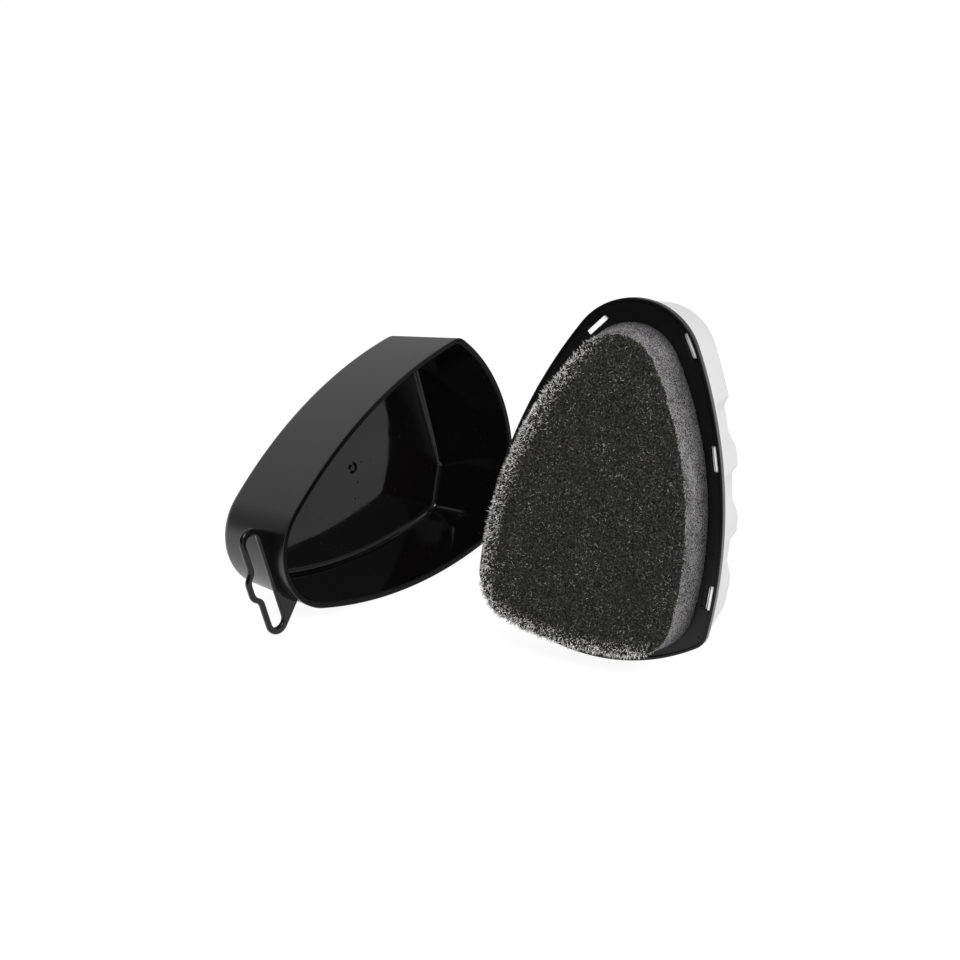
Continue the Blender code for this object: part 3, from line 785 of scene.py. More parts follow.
# %% [markdown]
# ## The carrier plate
#
# The plate is thin and flat, with a lip around its edge. Three windows on each side show the grip's
# snap tongues. Beside each window is a shallow ledge, on the inner side but for the left window at
# the tip, where it is on the outer side. Round marks are where pins pushed the plate out of its
# mould. Small nubs stand on the face near the edge.

# %% Windows, ledges and mould marks of the plate
WIDE_WINDOW_HEIGHT = 0.0292
MIDDLE_WINDOW_HEIGHT = 0.0727
TIP_WINDOW_SETBACK = 0.0099
LEFT_TIP_WINDOW_SETBACK = 0.0083
WINDOW_INSET = 0.0022
LEFT_TIP_WINDOW_INSET = 0.0042
WINDOW_LENGTH = 0.0084
WINDOW_WIDTH = 0.0021
WINDOW_CORNER = 0.0004
LEDGE_LENGTH = 0.0062
LEDGE_WIDTH = 0.0011
LEDGE_DEPTH = 0.0008
FEED_HOLE_RADIUS = 0.0020
FEED_RING_RADIUS = 0.0160
FEED_HOLES_IN_RING = 6
FEED_CENTRE_HEIGHT = 0.0500
PIN_MARKS = ((-0.0064, 0.1083), (0.0110, 0.1068), (0.0293, 0.0134), (-0.0293, 0.0134))
PIN_MARK_RADIUS = 0.0016
PIN_MARK_DEPTH = 0.00018
NUBS = ((0.0365, 0.0159), (0.0330, 0.0664), (0.0359, 0.0427), (-0.0330, 0.0664), (-0.0359, 0.0427))
NUB_RADIUS = 0.00045
NUB_HEIGHT = 0.0004
NUB_SIDES = 16


def window_places():
    """Side (1 is right, -1 is left), height and inset of each window, and the edge its ledge is on.

    The edge is 1 for the inner one and -1 for the outer one.
    """
    for side in (1, -1):
        yield side, WIDE_WINDOW_HEIGHT, WINDOW_INSET, 1
        yield side, MIDDLE_WINDOW_HEIGHT, WINDOW_INSET, 1
    yield 1, LENGTH - TIP_WINDOW_SETBACK, WINDOW_INSET, 1
    yield -1, LENGTH - LEFT_TIP_WINDOW_SETBACK, LEFT_TIP_WINDOW_INSET, -1


def plate_spot(side, height, inset):
    """Point on one side of the plate at this height along its outline, and its outward direction."""
    point, outward = PLATE.station(height, inset)
    return Vector((side * point.x, point.y)), Vector((side * outward.x, outward.y))


def block(shape, centre, outward, length, width, low, high, rounding=0.0):
    """Add a box whose long side runs along the outline, with its corners rounded where wanted."""
    along = Vector((-outward.y, outward.x))
    corners = [(x * length / 2, y * width / 2, rounding) for x, y in ((-1, -1), (1, -1), (1, 1), (-1, 1))]
    prism([centre + along * p.x + outward * p.y for p in rounded(corners, steps=5)], low, high, shape)


print("windows", len(list(window_places())))

# %% The plate itself


def carrier_plate():
    chamfer = PLATE_EDGE_CHAMFER
    profile = [
        (chamfer, -PLATE_THICKNESS),
        (chamfer * EDGE_MIDDLE, chamfer * EDGE_MIDDLE - PLATE_THICKNESS),
        (0.0, chamfer - PLATE_THICKNESS),
        (0.0, LIP_HEIGHT - chamfer),
        (chamfer * EDGE_MIDDLE, LIP_HEIGHT - chamfer * EDGE_MIDDLE),
        (chamfer, LIP_HEIGHT),
        (LIP_WIDTH - chamfer / 2, LIP_HEIGHT),
        (LIP_WIDTH, LIP_HEIGHT - chamfer / 2),
        (LIP_WIDTH, 0.0),
    ]
    rings = [(PLATE.ring(inset), z) for inset, z in profile]
    plate = add_piece("plate", loft(rings), UNIT_STAND, PLATE_BLACK)
    cuts = bmesh.new()
    below = -PLATE_THICKNESS - CUT_PAST
    for side, height, inset, _ in window_places():
        point, outward = plate_spot(side, height, inset)
        block(cuts, point, outward, WINDOW_LENGTH, WINDOW_WIDTH, below, CUT_PAST, WINDOW_CORNER)
    for i in range(FEED_HOLES_IN_RING):
        angle = 2 * pi * i / FEED_HOLES_IN_RING
        x = FEED_RING_RADIUS * cos(angle)
        y = FEED_CENTRE_HEIGHT + FEED_RING_RADIUS * sin(angle)
        disc(cuts, x, y, below, CUT_PAST, FEED_HOLE_RADIUS)
    disc(cuts, 0.0, FEED_CENTRE_HEIGHT, below, CUT_PAST, FEED_HOLE_RADIUS)
    for x, y in PIN_MARKS:
        disc(cuts, x, y, -PIN_MARK_DEPTH, CUT_PAST, PIN_MARK_RADIUS)
    reshape(plate, cuts, "DIFFERENCE", PLATE_BLACK)
    ledges = bmesh.new()
    for side, height, inset, edge in window_places():
        point, outward = plate_spot(side, height, inset + edge * WINDOW_WIDTH / 2)
        block(ledges, point, outward, LEDGE_LENGTH, 2 * LEDGE_WIDTH, -LEDGE_DEPTH, CUT_PAST)
    reshape(plate, ledges, "DIFFERENCE", PLATE_BLACK)
    nubs = bmesh.new()
    for x, y in NUBS:
        disc(nubs, x, y, -NUB_HEIGHT, NUB_HEIGHT, NUB_RADIUS, NUB_SIDES)
    reshape(plate, nubs, "UNION", PLATE_BLACK)
    return plate


plate = carrier_plate()
keep_flats_flat(plate)
settle(plate)
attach(plate, "sponge_unit")
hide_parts("carrier_plate")
print("plate faces", len(plate.data.polygons))

# %% [markdown]
# ## The white grip
#
# The grip is a hollow white shell with three finger grooves along each side. Each groove starts at a
# sharp shoulder near the tip and runs out gently towards the wide end. A flange and a fine shadow
# groove run around it under the plate. The snap tongues stand on the flange and show as white bars in
# the plate's windows. Most tongues have a groove along them and a lower step beside it. The two
# overlap, and blocks that overlap in one cutter can empty the shell, so each has a cutter of its own.

# %% Grip with finger grooves
FLANGE_INSET = 0.0004
FLANGE_THICKNESS = 0.0020
SHADOW_GROOVE_WIDTH = 0.0008
SHADOW_GROOVE_INSET = 0.0009
FINGER_GROOVES = 3
FINGER_GROOVE_DEPTH = 0.0020
FINGER_GROOVE_PITCH = 0.0215
FINGER_GROOVE_SETBACK = 0.0270
FINGER_SHOULDER = 0.0030
FINGER_BOTTOM = 0.0070
FINGER_RAMP = 0.0070
FINGER_FADE_DEPTH = 0.0030
FINGER_FADE_STEPS = 8


def ease(share):
    """Share from 0 to 1 with a soft start and end."""
    return share * share * (3.0 - 2.0 * share)


def finger_dent(height):
    """How far the grip's wall is drawn in at this height, from 0 to 1 of the groove depth."""
    below = LENGTH - FINGER_GROOVE_SETBACK - height
    if not 0.0 <= below < FINGER_GROOVES * FINGER_GROOVE_PITCH:
        return 0.0
    place = below % FINGER_GROOVE_PITCH
    if place < FINGER_SHOULDER:
        return ease(place / FINGER_SHOULDER)
    up_the_ramp = max(0.0, place - FINGER_SHOULDER - FINGER_BOTTOM) / FINGER_RAMP
    return ease(max(0.0, 1.0 - up_the_ramp))


def grip_rows():
    """Inset, z and groove share of each ring, from the back up the outside and down the inside."""
    rim = -PLATE_THICKNESS - FIT_GAP
    flange_end = rim - FLANGE_THICKNESS
    wall_start = flange_end - SHADOW_GROOVE_WIDTH
    fade_end = wall_start - FINGER_FADE_DEPTH
    wall_end = GRIP_BACK_FILLET - GRIP_DEPTH
    slope = (GRIP_BACK_INSET - SHADOW_GROOVE_INSET) / (wall_start - wall_end)

    def wall_inset(z):
        return SHADOW_GROOVE_INSET + slope * (wall_start - z)

    rows = [(inset, z, 1.0) for inset, z in bottom_edge(GRIP_BACK_INSET, -GRIP_DEPTH, GRIP_BACK_FILLET)]
    for i in range(FINGER_FADE_STEPS + 1):
        z = fade_end + (wall_start - fade_end) * i / FINGER_FADE_STEPS
        rows.append((wall_inset(z), z, ease(1.0 - i / FINGER_FADE_STEPS)))
    rows += [
        (SHADOW_GROOVE_INSET, flange_end, 0.0),
        (FLANGE_INSET, flange_end, 0.0),
        (FLANGE_INSET, rim, 0.0),
        (SHADOW_GROOVE_INSET + GRIP_WALL, rim, 0.0),
        (SHADOW_GROOVE_INSET + GRIP_WALL, wall_start, 0.0),
        (wall_inset(fade_end) + GRIP_WALL, fade_end, 1.0),
    ]
    inner_floor = GRIP_BACK_THICKNESS - GRIP_DEPTH
    inner_inset = wall_inset(inner_floor + GRIP_INNER_FILLET) + GRIP_WALL
    return rows + [(inset, z, 1.0) for inset, z in inner_edge(inner_inset, inner_floor, GRIP_INNER_FILLET)]


def grip_shell():
    rings = []
    for inset, z, share in grip_rows():
        def dent(height, share=share):
            return share * FINGER_GROOVE_DEPTH * finger_dent(height)
        rings.append((GRIP.ring(inset, GRIP_FINE_STEPS, dent), z))
    return add_piece("grip", loft(rings), UNIT_STAND, GRIP_WHITE, TONGUE_PAINTED_LIGHT)


grip = grip_shell()
print("grip faces without tongues", len(grip.data.polygons))

# %% Snap tongues of the grip
TONGUE_TOP_DEPTH = 0.0008
TONGUE_FOOT_DEPTH = 0.0034
TONGUE_ROOT_DEPTH = 0.0052
TONGUE_BAND = 0.0007
TONGUE_GROOVE = 0.0005
TONGUE_GROOVE_DEPTH = 0.0022
TONGUE_STEP = 0.0010
TONGUE_LENGTH = WINDOW_LENGTH - 2 * FIT_GAP
TONGUE_WIDTH = WINDOW_WIDTH - 2 * FIT_GAP


def join_tongues(shell):
    tongues = bmesh.new()
    feet = bmesh.new()
    wall_middle = SHADOW_GROOVE_INSET + GRIP_WALL / 2
    for side, height, inset, _ in window_places():
        point, outward = plate_spot(side, height, inset)
        block(tongues, point, outward, TONGUE_LENGTH, TONGUE_WIDTH, -TONGUE_ROOT_DEPTH,
              -TONGUE_TOP_DEPTH, WINDOW_CORNER - FIT_GAP / 2)
        point, outward = plate_spot(side, height, (wall_middle + inset) / 2)
        block(feet, point, outward, TONGUE_LENGTH - 2 * FIT_GAP, inset - wall_middle,
              -TONGUE_ROOT_DEPTH + FIT_GAP, -TONGUE_FOOT_DEPTH)
    # Painted light: the tongues get the whiter finish.
    for face in tongues.faces:
        face.material_index = 1
    reshape(shell, tongues, "UNION", GRIP_WHITE, TONGUE_PAINTED_LIGHT)
    reshape(shell, feet, "UNION", GRIP_WHITE)


def groove_tongues(shell):
    grooves = bmesh.new()
    steps = bmesh.new()
    top = CUT_PAST - TONGUE_TOP_DEPTH
    for side, height, inset, edge in window_places():
        if edge < 0:
            continue
        band_end = inset - TONGUE_WIDTH / 2 + TONGUE_BAND
        step_start = band_end + TONGUE_GROOVE
        step_end = inset + TONGUE_WIDTH / 2 + FIT_GAP / 2
        point, outward = plate_spot(side, height, (band_end + step_start) / 2)
        block(grooves, point, outward, TONGUE_LENGTH + FIT_GAP, TONGUE_GROOVE,
              -TONGUE_TOP_DEPTH - TONGUE_GROOVE_DEPTH, top)
        point, outward = plate_spot(side, height, (band_end + step_end) / 2)
        block(steps, point, outward, TONGUE_LENGTH + FIT_GAP, step_end - band_end,
              -TONGUE_TOP_DEPTH - TONGUE_STEP, top)
    reshape(shell, steps, "DIFFERENCE", GRIP_WHITE)
    reshape(shell, grooves, "DIFFERENCE", GRIP_WHITE)


join_tongues(grip)
groove_tongues(grip)
keep_flats_flat(grip)
settle(grip)
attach(grip, "sponge_unit")
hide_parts("handle_shell")
print("grip faces", len(grip.data.polygons))

# %% [markdown]
# ## Foam
#
# Foam isn't smooth: its cut face is a field of tiny cells. A loft gives the pad's form, a voxel remesh
# spreads small faces evenly over it, and each point is then moved along its normal by noise. The
# finest grain is left to a bump in the finish, because a mesh that fine would be far too heavy. The
# foam's colour is darkened towards the plate as painted shade, so its shade follows the height.

# %% The pad's form, and how a skin gets its grain
PAD_WIDE_MARGIN = 0.0052
PAD_SIDE_MARGIN = 0.0052
PAD_TIP_MARGIN = 0.0072
PAD_WIDE_RADIUS = 0.0950
PAD_CORNER_RADIUS = 0.0160
PAD_SIDE_RADIUS = 0.1200
PAD_TIP_RADIUS = 0.0160
PAD_HEIGHT = 0.0160
FACE_THICKNESS = 0.0015
PAD_TAPER = 0.0024
PAD = Outline(
    PAD_WIDE_MARGIN, LENGTH - PAD_TIP_MARGIN, HALF_WIDTH - PAD_SIDE_MARGIN, PAD_WIDE_RADIUS,
    PAD_CORNER_RADIUS, PAD_SIDE_RADIUS, PAD_TIP_RADIUS)


def pad_inset(z):
    """The pad's sides lean in evenly from the plate up to the polishing face."""
    return PAD_TAPER * z / (PAD_HEIGHT + FACE_THICKNESS)


def remeshed(piece, voxel):
    remesh = piece.modifiers.new("even faces", "REMESH")
    remesh.mode = "VOXEL"
    remesh.voxel_size = voxel
    remesh.use_smooth_shade = True
    bake_modifiers(piece)
    return piece


def mesh_arrays(mesh):
    """Points and normals of a mesh as arrays."""
    spots = np.zeros(len(mesh.vertices) * 3)
    normals = np.zeros(len(mesh.vertices) * 3)
    mesh.vertices.foreach_get("co", spots)
    mesh.vertices.foreach_get("normal", normals)
    return spots.reshape(-1, 3), normals.reshape(-1, 3)


def roughen(piece, grains):
    """Move each point along its normal by a sum of noises, given as pairs of grain size and depth."""
    spots, normals = mesh_arrays(piece.data)
    shift = np.zeros(len(spots))
    for grain, depth in grains:
        shift += depth * np.array([noise.noise(Vector(spot) / grain) for spot in spots])
    piece.data.vertices.foreach_set("co", (spots + normals * shift[:, None]).ravel())
    piece.data.update()


print("the pad leans in by", PAD_TAPER, "m on each side")

# %% Foam pad
# Painted shade of the foam towards the plate: how far up it reaches in millimetres, and how dark it is at
# the plate.
PAINTED_SHADE_REACH_MM = 10.0
PAINTED_SHADE_DARKEST = 0.08
FOAM_VOXEL = 0.0004
FOAM_GRAINS = ((0.0008, 0.00016),)


def grey_foam():
    made = Finish("grey_foam_grained", Roughness=0.95, IOR=1.30)
    spot = made.place()
    cells = made.cloud(spot, scale=2.4, detail=2.0, roughness=0.7)
    patches = made.cloud(spot, scale=0.12, detail=2.0)
    shade = made.spread(cells + 0.20 * (patches - 0.5), 0.42, 0.62)
    # Painted shade: the colour is darkened towards the plate, where the plate shades the foam.
    off_plate = UNIT_STAND.to_3x3() @ Vector((0.0, 0.0, 1.0))
    plate_level = off_plate.dot(UNIT_STAND.translation) * MILLIMETRES
    inputs = {0: spot, 1: off_plate}
    height = made.node("ShaderNodeVectorMath", {"operation": "DOT_PRODUCT"}, inputs)["Value"] - plate_level
    painted_shade_share = made.spread(height + 2.0 * (cells - 0.5), 0.0, PAINTED_SHADE_REACH_MM)
    shade = shade * (PAINTED_SHADE_DARKEST + (1.0 - PAINTED_SHADE_DARKEST) * painted_shade_share)
    made.feed("Base Color", made.blend(shade, (0.008, 0.007, 0.009), (0.33, 0.322, 0.327)))
    made.bump(cells, distance=0.0006)
    return made.material


GREY_FOAM = grey_foam()
pad_rings = [(PAD.ring(pad_inset(z)), z) for z in (FIT_GAP, PAD_HEIGHT - FIT_GAP)]
foam = remeshed(add_piece("foam_block", loft(pad_rings), UNIT_STAND, GREY_FOAM), FOAM_VOXEL)
roughen(foam, FOAM_GRAINS)
settle(foam)
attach(foam, "sponge_unit")
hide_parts("foam_pad")
print("foam block faces", len(foam.data.polygons))

# %% [markdown]
# ## The polishing face
#
# The face is a coarse dark web that is glued on the foam. Seen closely it is short, stiff fibres that
# stand in every direction, dark where polish has soaked in. Along one side and the wide end the web is
# frayed, and there the fibres are painted pale: painted light, where light catches them. A rough skin
# gives the depth between the fibres, and thousands of thin tapered fibres grow out of it. Each fibre is
# a small closed mesh with its own shade, kept in a colour attribute.

# %% Rough skin of the polishing face
FACE_EDGE = 0.0011
FACE_TOP = PAD_HEIGHT + FACE_THICKNESS
FACE_VOXEL = 0.0005
FACE_GRAINS = ((0.0011, 0.00045), (0.0035, 0.0003))


def dark_web():
    made = Finish("dark_web_skin", Roughness=0.9, IOR=1.30)
    spot = made.place()
    threads = made.cloud(spot, scale=1.5, detail=3.0, roughness=0.8)
    shade = made.spread(threads, 0.45, 0.70)
    made.feed("Base Color", made.blend(shade, (0.002, 0.002, 0.0015), (0.060, 0.060, 0.049)))
    made.bump(threads, distance=0.0008)
    return made.material


edge_rows = top_edge(pad_inset(FACE_TOP - FACE_EDGE), FACE_TOP, FACE_EDGE)
face_rings = [(PAD.ring(inset), z) for inset, z in [(pad_inset(PAD_HEIGHT), PAD_HEIGHT)] + edge_rows]
face = remeshed(add_piece("polishing_web", loft(face_rings), UNIT_STAND, dark_web()), FACE_VOXEL)
roughen(face, FACE_GRAINS)
print("polishing web faces", len(face.data.polygons))

# %% Where the fibres stand
# The frayed zone at the left side and the wide end; it also carries the painted light of pale fibres.
FRAY_AND_LIGHT_REACH = 0.0055
FRAY_AND_LIGHT_FULL = 1.2
FRAY_CROWD = 1.5
LEFT_FRAY_AND_LIGHT = (0.004, 0.014)
WIDE_FRAY_AND_LIGHT = (0.016, 0.010)
FIBRES_FROM = PAD_HEIGHT + 0.0003
RANDOM_SEED = 7
random = np.random.default_rng(RANDOM_SEED)


def share_of_way(values, limits):
    """From 0 at the first limit to 1 at the second, held at both ends."""
    return np.clip((values - limits[0]) / (limits[1] - limits[0]), 0.0, 1.0)


def edge_distance(points):
    """Distance of each x, y point from the face's outline, measured inwards."""
    ring = np.array([tuple(p) for p in PAD.ring(PAD_TAPER)])
    gaps = np.hypot(points[:, None, 0] - ring[None, :, 0], points[:, None, 1] - ring[None, :, 1])
    nearest = gaps.argmin(1)
    return gaps.min(1), ring[nearest]


def fray_and_light_share(spots):
    """From 0 on the body of the face to 1 at the frayed left side and wide end, where painted light also
    makes the fibres pale.
    """
    gap, edge = edge_distance(spots[:, :2])
    near = np.clip(FRAY_AND_LIGHT_FULL * (1.0 - gap / FRAY_AND_LIGHT_REACH), 0.0, 1.0)
    return near * np.maximum(share_of_way(-edge[:, 0], LEFT_FRAY_AND_LIGHT), share_of_way(edge[:, 1], WIDE_FRAY_AND_LIGHT))


def scattered(piece, count):
    """Points spread over a piece by area, with the normals there."""
    mesh = piece.data
    mesh.calc_loop_triangles()
    spots, normals = mesh_arrays(mesh)
    corners = np.zeros(len(mesh.loop_triangles) * 3, dtype=int)
    mesh.loop_triangles.foreach_get("vertices", corners)
    corners = corners.reshape(-1, 3)
    a, b, c = (spots[corners[:, i]] for i in range(3))
    area = np.linalg.norm(np.cross(b - a, c - a), axis=1)
    middle = (a + b + c) / 3
    area[middle[:, 2] < FIBRES_FROM] = 0.0
    area *= 1.0 + FRAY_CROWD * fray_and_light_share(middle)
    chosen = random.choice(len(corners), size=count, p=area / area.sum())
    u, v = random.random(count), random.random(count)
    flip = u + v > 1.0
    u[flip], v[flip] = 1.0 - u[flip], 1.0 - v[flip]
    ground = a[chosen] + u[:, None] * (b - a)[chosen] + v[:, None] * (c - a)[chosen]
    return ground, normals[corners[chosen, 0]]


FIBRE_COUNT = 15000
ground, ground_normals = scattered(face, FIBRE_COUNT)
fray_and_light = fray_and_light_share(ground)
print("frayed fibres", int((fray_and_light > 0.5).sum()), "of", FIBRE_COUNT)

# %% Fibres on the face and its frayed edge
FIBRE_SIDES = 3
FIBRE_RINGS = 3
FIBRE_RADIUS = (0.00010, 0.00017)
FIBRE_LENGTH = (0.0005, 0.0010)
FRAY_LENGTH = (0.0001, 0.0006)
FIBRE_CURL = 0.5
FIBRE_TAPER = 0.6
FIBRE_ROOT = 0.0002
FACE_MIDDLE = 0.055


def unit_rows(vectors):
    return vectors / np.linalg.norm(vectors, axis=1, keepdims=True)


def between(limits, share):
    return limits[0] + (limits[1] - limits[0]) * share


def fibre_points(ground, normals, fray_and_light):
    """Points of all fibres: rings of three that get thinner, and a tip."""
    count = len(ground)
    lie = unit_rows(random.normal(size=(count, 3)))
    outward = unit_rows(np.column_stack([ground[:, 0], ground[:, 1] - FACE_MIDDLE, np.zeros(count)]))
    way = unit_rows(normals + lie + outward * fray_and_light[:, None])
    curl = unit_rows(random.normal(size=(count, 3))) * FIBRE_CURL
    length = between(FIBRE_LENGTH, random.random(count)) + fray_and_light * between(FRAY_LENGTH, random.random(count))
    radius = between(FIBRE_RADIUS, random.random(count))
    across = unit_rows(np.cross(way, lie))
    second = np.cross(way, across)
    start = ground - normals * FIBRE_ROOT
    points = []
    for row in range(FIBRE_RINGS):
        share = row / FIBRE_RINGS
        centre = start + (way * share + curl * share ** 2) * length[:, None]
        size = (radius * (1.0 - FIBRE_TAPER * share))[:, None]
        for side in range(FIBRE_SIDES):
            angle = 2 * pi * side / FIBRE_SIDES
            points.append(centre + size * (across * cos(angle) + second * sin(angle)))
    points.append(start + (way + curl) * length[:, None])
    return np.stack(points, axis=1)


def fibre_faces(tip):
    """Faces of one fibre, whose tip is the point with this number."""
    faces = [tuple(reversed(range(FIBRE_SIDES)))]
    last = (FIBRE_RINGS - 1) * FIBRE_SIDES
    for row in range(0, last, FIBRE_SIDES):
        for side in range(FIBRE_SIDES):
            i, j = row + side, row + (side + 1) % FIBRE_SIDES
            faces.append((i, j, j + FIBRE_SIDES, i + FIBRE_SIDES))
    return faces + [(last + side, last + (side + 1) % FIBRE_SIDES, tip) for side in range(FIBRE_SIDES)]


spots = fibre_points(ground, ground_normals, fray_and_light)
per_fibre = spots.shape[1]
one_fibre = fibre_faces(per_fibre - 1)
all_faces = [tuple(k * per_fibre + i for i in side) for k in range(FIBRE_COUNT) for side in one_fibre]
fibre_mesh = bpy.data.meshes.new("polishing_fibres")
fibre_mesh.from_pydata(spots.reshape(-1, 3).tolist(), [], all_faces)
fibre_mesh.shade_smooth()
print("points in each fibre", per_fibre)

# %% Shades of the fibres
WEAR_PATCH = 0.004
WEAR_SHARE = (0.9, 1.1)
WEAR_LIMITS = (0.1, 2.0)
TONE_POWER = 3.0
# Painted light: how strongly, from where and in which colours the frayed fibres are painted pale.
FRAY_PAINTED_LIGHT = 1.5
PAINTED_LIGHT_FROM = 0.02
PAINTED_LIGHT_SPREAD = 0.25
DARK_FIBRE = (np.array([0.007, 0.007, 0.006]), np.array([0.31, 0.307, 0.27]))
PAINTED_LIT_FIBRE = (np.array([0.03, 0.029, 0.025]), np.array([0.95, 0.94, 0.89]))


def fibre_colours(ground, fray_and_light):
    """Mostly dark, mottled by wear, and painted pale as painted light on the frayed left side and wide end.
    """
    count = len(ground)
    wear = np.array([noise.noise(Vector(spot) / WEAR_PATCH) for spot in ground])
    tone = random.random(count) ** TONE_POWER * np.clip(WEAR_SHARE[0] + WEAR_SHARE[1] * wear, *WEAR_LIMITS)
    # Painted light: fibres on the frayed left side and wide end are painted pale where light catches them.
    painted_light = np.clip(FRAY_PAINTED_LIGHT * fray_and_light + PAINTED_LIGHT_SPREAD * (random.random(count) - 0.5), 0.0, 1.0)
    painted_light *= fray_and_light > PAINTED_LIGHT_FROM
    dark = DARK_FIBRE[0] + tone[:, None] * DARK_FIBRE[1]
    light = PAINTED_LIT_FIBRE[0] + random.random(count)[:, None] * PAINTED_LIT_FIBRE[1]
    return dark * (1.0 - painted_light[:, None]) + light * painted_light[:, None]


def fibre_finish():
    made = Finish("web_fibres", Roughness=0.55, IOR=1.40)
    made.feed("Base Color", made.node("ShaderNodeVertexColor", {"layer_name": "fibre_shade"})["Color"])
    return made.material


shades = fibre_mesh.color_attributes.new("fibre_shade", "FLOAT_COLOR", "POINT")
rgba = np.column_stack([fibre_colours(ground, fray_and_light), np.ones(FIBRE_COUNT)])
shades.data.foreach_set("color", np.repeat(rgba, per_fibre, axis=0).ravel())
fibre_mesh.materials.append(fibre_finish())
web_fibres = add_object("polishing_fibres", fibre_mesh)
web_fibres.matrix_world = UNIT_STAND
settle(face)
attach(face, "sponge_unit")
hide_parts("polishing_face")
settle(web_fibres)
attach(web_fibres, "sponge_unit")
print("fibres", FIBRE_COUNT, "with faces", len(web_fibres.data.polygons))

# %% [markdown]
# ## What is inside
#
# The reservoir can't be seen, but the object would be empty without it. It is a block of open foam
# that is wet with polish, so it gets the same grained skin, a warm colour and a wet coat. The thin
# sheet between it and the plate keeps its solid from the model and gets the finish of a film.

# %% Reservoir foam and feed membrane
RESERVOIR_SIDE_GAP = 0.0010
RESERVOIR_ROUNDING = 0.0015
RESERVOIR_VOXEL = 0.0012
RESERVOIR_GRAINS = ((0.0018, 0.0003),)
MEMBRANE_THICKNESS = 0.0005


def soaked_foam():
    made = Finish("soaked_foam_grained", Coat_Weight=0.5, Coat_Roughness=0.2)
    cells = made.cloud(made.place(), scale=0.9, detail=3.0, roughness=0.7)
    shade = made.spread(cells, 0.35, 0.7)
    made.feed("Base Color", made.blend(shade, (0.30, 0.26, 0.15), (0.62, 0.57, 0.42)))
    made.feed("Roughness", 0.45 + 0.4 * cells)
    made.bump(cells, distance=0.0006)
    return made.material


def feed_film():
    made = Finish("feed_film", Base_Color=(0.75, 0.76, 0.78, 1.0))
    pores = made.cloud(made.place(), scale=2.2, detail=2.0)
    made.feed("Roughness", 0.25 + 0.3 * pores)
    made.bump(pores, distance=0.00005)
    return made.material


def reservoir_shape():
    inset = GRIP_BACK_INSET + FINGER_GROOVE_DEPTH + GRIP_WALL + RESERVOIR_SIDE_GAP
    low = GRIP_BACK_THICKNESS - GRIP_DEPTH + FIT_GAP
    high = -PLATE_THICKNESS - 2 * FIT_GAP - MEMBRANE_THICKNESS
    rows = bottom_edge(inset, low, RESERVOIR_ROUNDING) + top_edge(inset, high, RESERVOIR_ROUNDING)
    return loft([(GRIP.ring(row_inset), z) for row_inset, z in rows])


reservoir = add_piece("reservoir_block", reservoir_shape(), UNIT_STAND, soaked_foam())
remeshed(reservoir, RESERVOIR_VOXEL)
roughen(reservoir, RESERVOIR_GRAINS)
settle(reservoir)
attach(reservoir, "sponge_unit")
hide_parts("reservoir_foam")
membrane = nodes["feed_membrane"]
membrane.data.materials.clear()
membrane.data.materials.append(feed_film())
print("reservoir faces", len(reservoir.data.polygons))

# %% [markdown]
# ## Floor and light
#
# The picture is a shop picture on pure white: the object stands on a white sheet that is lit until it
# glows, and most light comes from above. What black plastic shows is mostly its surroundings, and in
# the picture it shows darkness at the front left and white at the right. So the sheet ends in front
# of the object, where mirrored rays meet a dark room, and a second floor carries on beyond the sheet
# only for rays that aren't mirrored.

# %% Pale floor
SHEET_LEFT = -6.0
SHEET_FRONT = -0.24
SHEET_FAR = 8.0
FLOOR_DROP = 0.0004
FLOOR_GLOW = 0.93


def floor_finish():
    return Finish(
        "pale_floor", Base_Color=(0.16, 0.16, 0.16, 1.0), Roughness=0.9, Specular_IOR_Level=0.0,
        Emission_Color=(1.0, 1.0, 1.0, 1.0), Emission_Strength=FLOOR_GLOW).material


def flat_sheet(name, low, high, z, finish):
    mesh = bpy.data.meshes.new(name)
    corners = ((low[0], low[1], z), (high[0], low[1], z), (high[0], high[1], z), (low[0], high[1], z))
    mesh.from_pydata(corners, [], [(0, 1, 2, 3)])
    mesh.materials.append(finish)
    return add_object(name, mesh)


PALE_FLOOR = floor_finish()
sheet = flat_sheet("floor", (SHEET_LEFT, SHEET_FRONT), (SHEET_FAR, SHEET_FAR), 0.0, PALE_FLOOR)
beyond = flat_sheet(
    "floor_beyond", (-SHEET_FAR, -SHEET_FAR), (SHEET_FAR, SHEET_FAR), -FLOOR_DROP, PALE_FLOOR)
beyond.visible_glossy = False
print("floor glow", FLOOR_GLOW)

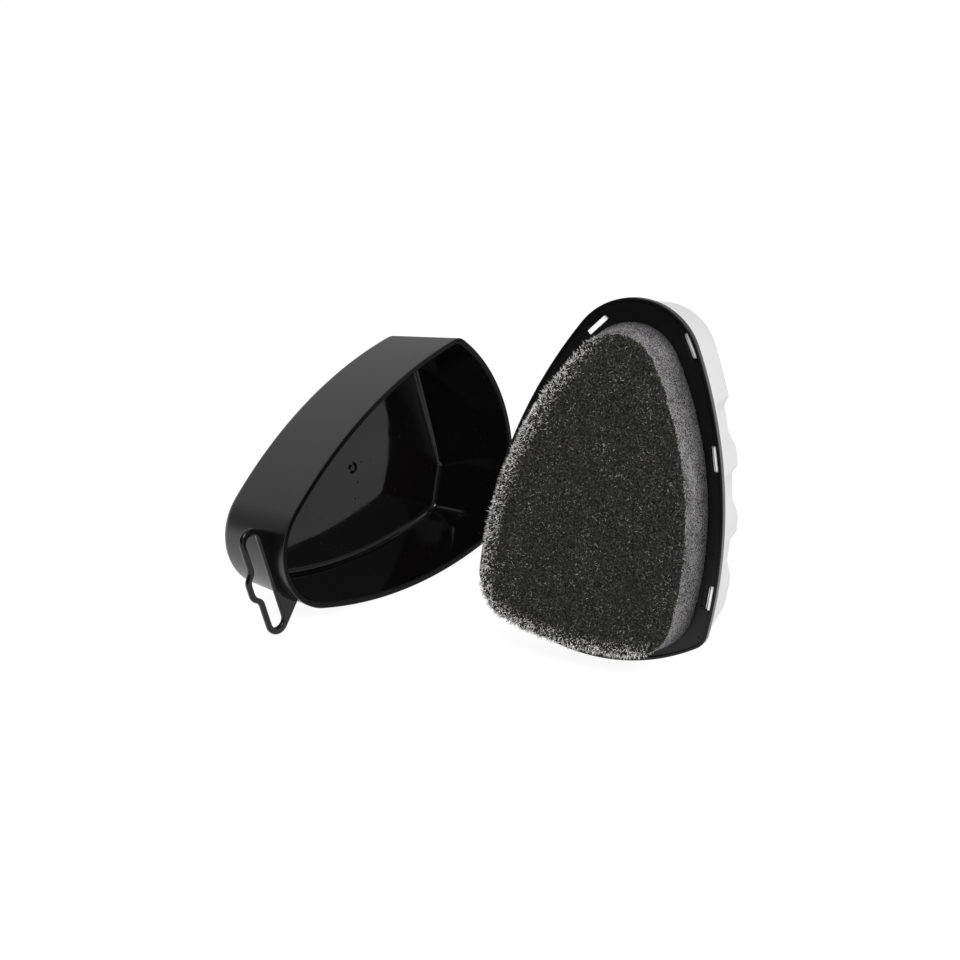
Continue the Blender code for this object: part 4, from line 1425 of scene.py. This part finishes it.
# %% Soft surroundings and the key light
ROOM_SIDES = 0.44
ROOM_TOP = 0.80
ROOM_DARK = 0.05
ROOM_RISE = (0.05, 0.80)
DARK_EDGE = (0.35, 0.80)
DARK_WAY = Vector((-0.74, -0.67, 0.0)).normalized()
KEY_PLACE = Vector((0.12, -0.62, 0.62))
KEY_AIM = Vector((0.03, 0.0, 0.05))
KEY_SIZE = 0.5
KEY_POWER = 7.0


def soft_surroundings():
    """Room that gets brighter with height and is dark towards one side."""
    world = bpy.data.worlds.new("soft_surroundings")
    world.use_nodes = True
    bpy.context.scene.world = world
    room = Web(world.node_tree)
    smooth = {"interpolation_type": "SMOOTHSTEP"}
    way = room.node("ShaderNodeTexCoord")["Generated"]
    height = room.node("ShaderNodeSeparateXYZ", None, {"Vector": way})["Z"]
    inputs = {"Value": height, "From Min": ROOM_RISE[0], "From Max": ROOM_RISE[1]}
    inputs |= {"To Min": ROOM_SIDES, "To Max": ROOM_TOP}
    level = room.node("ShaderNodeMapRange", smooth, inputs)["Result"]
    towards = room.node("ShaderNodeVectorMath", {"operation": "DOT_PRODUCT"}, {0: way, 1: DARK_WAY})["Value"]
    inputs = {"Value": towards, "From Min": DARK_EDGE[0], "From Max": DARK_EDGE[1]}
    dark = room.node("ShaderNodeMapRange", smooth, inputs)["Result"]
    inputs = {0: dark, 2: level, 3: ROOM_DARK}
    background = room.tree.nodes["Background"]
    background.inputs["Strength"].default_value = 1.0
    room.put(background.inputs["Color"], room.node("ShaderNodeMix", {"data_type": "FLOAT"}, inputs)[0])


def soft_light(name, place, aim, size, power):
    lamp = bpy.data.lights.new(name, "AREA")
    lamp.shape = "DISK"
    lamp.size = size
    lamp.energy = power
    made = add_object(name, lamp)
    made.location = place
    made.rotation_euler = (aim - place).to_track_quat("-Z", "Y").to_euler()


soft_surroundings()
soft_light("key_light", KEY_PLACE, KEY_AIM, KEY_SIZE, KEY_POWER)
bpy.context.scene.view_settings.view_transform = "Standard"
print("room from", ROOM_SIDES, "to", ROOM_TOP, "and", ROOM_DARK, "on its dark side")
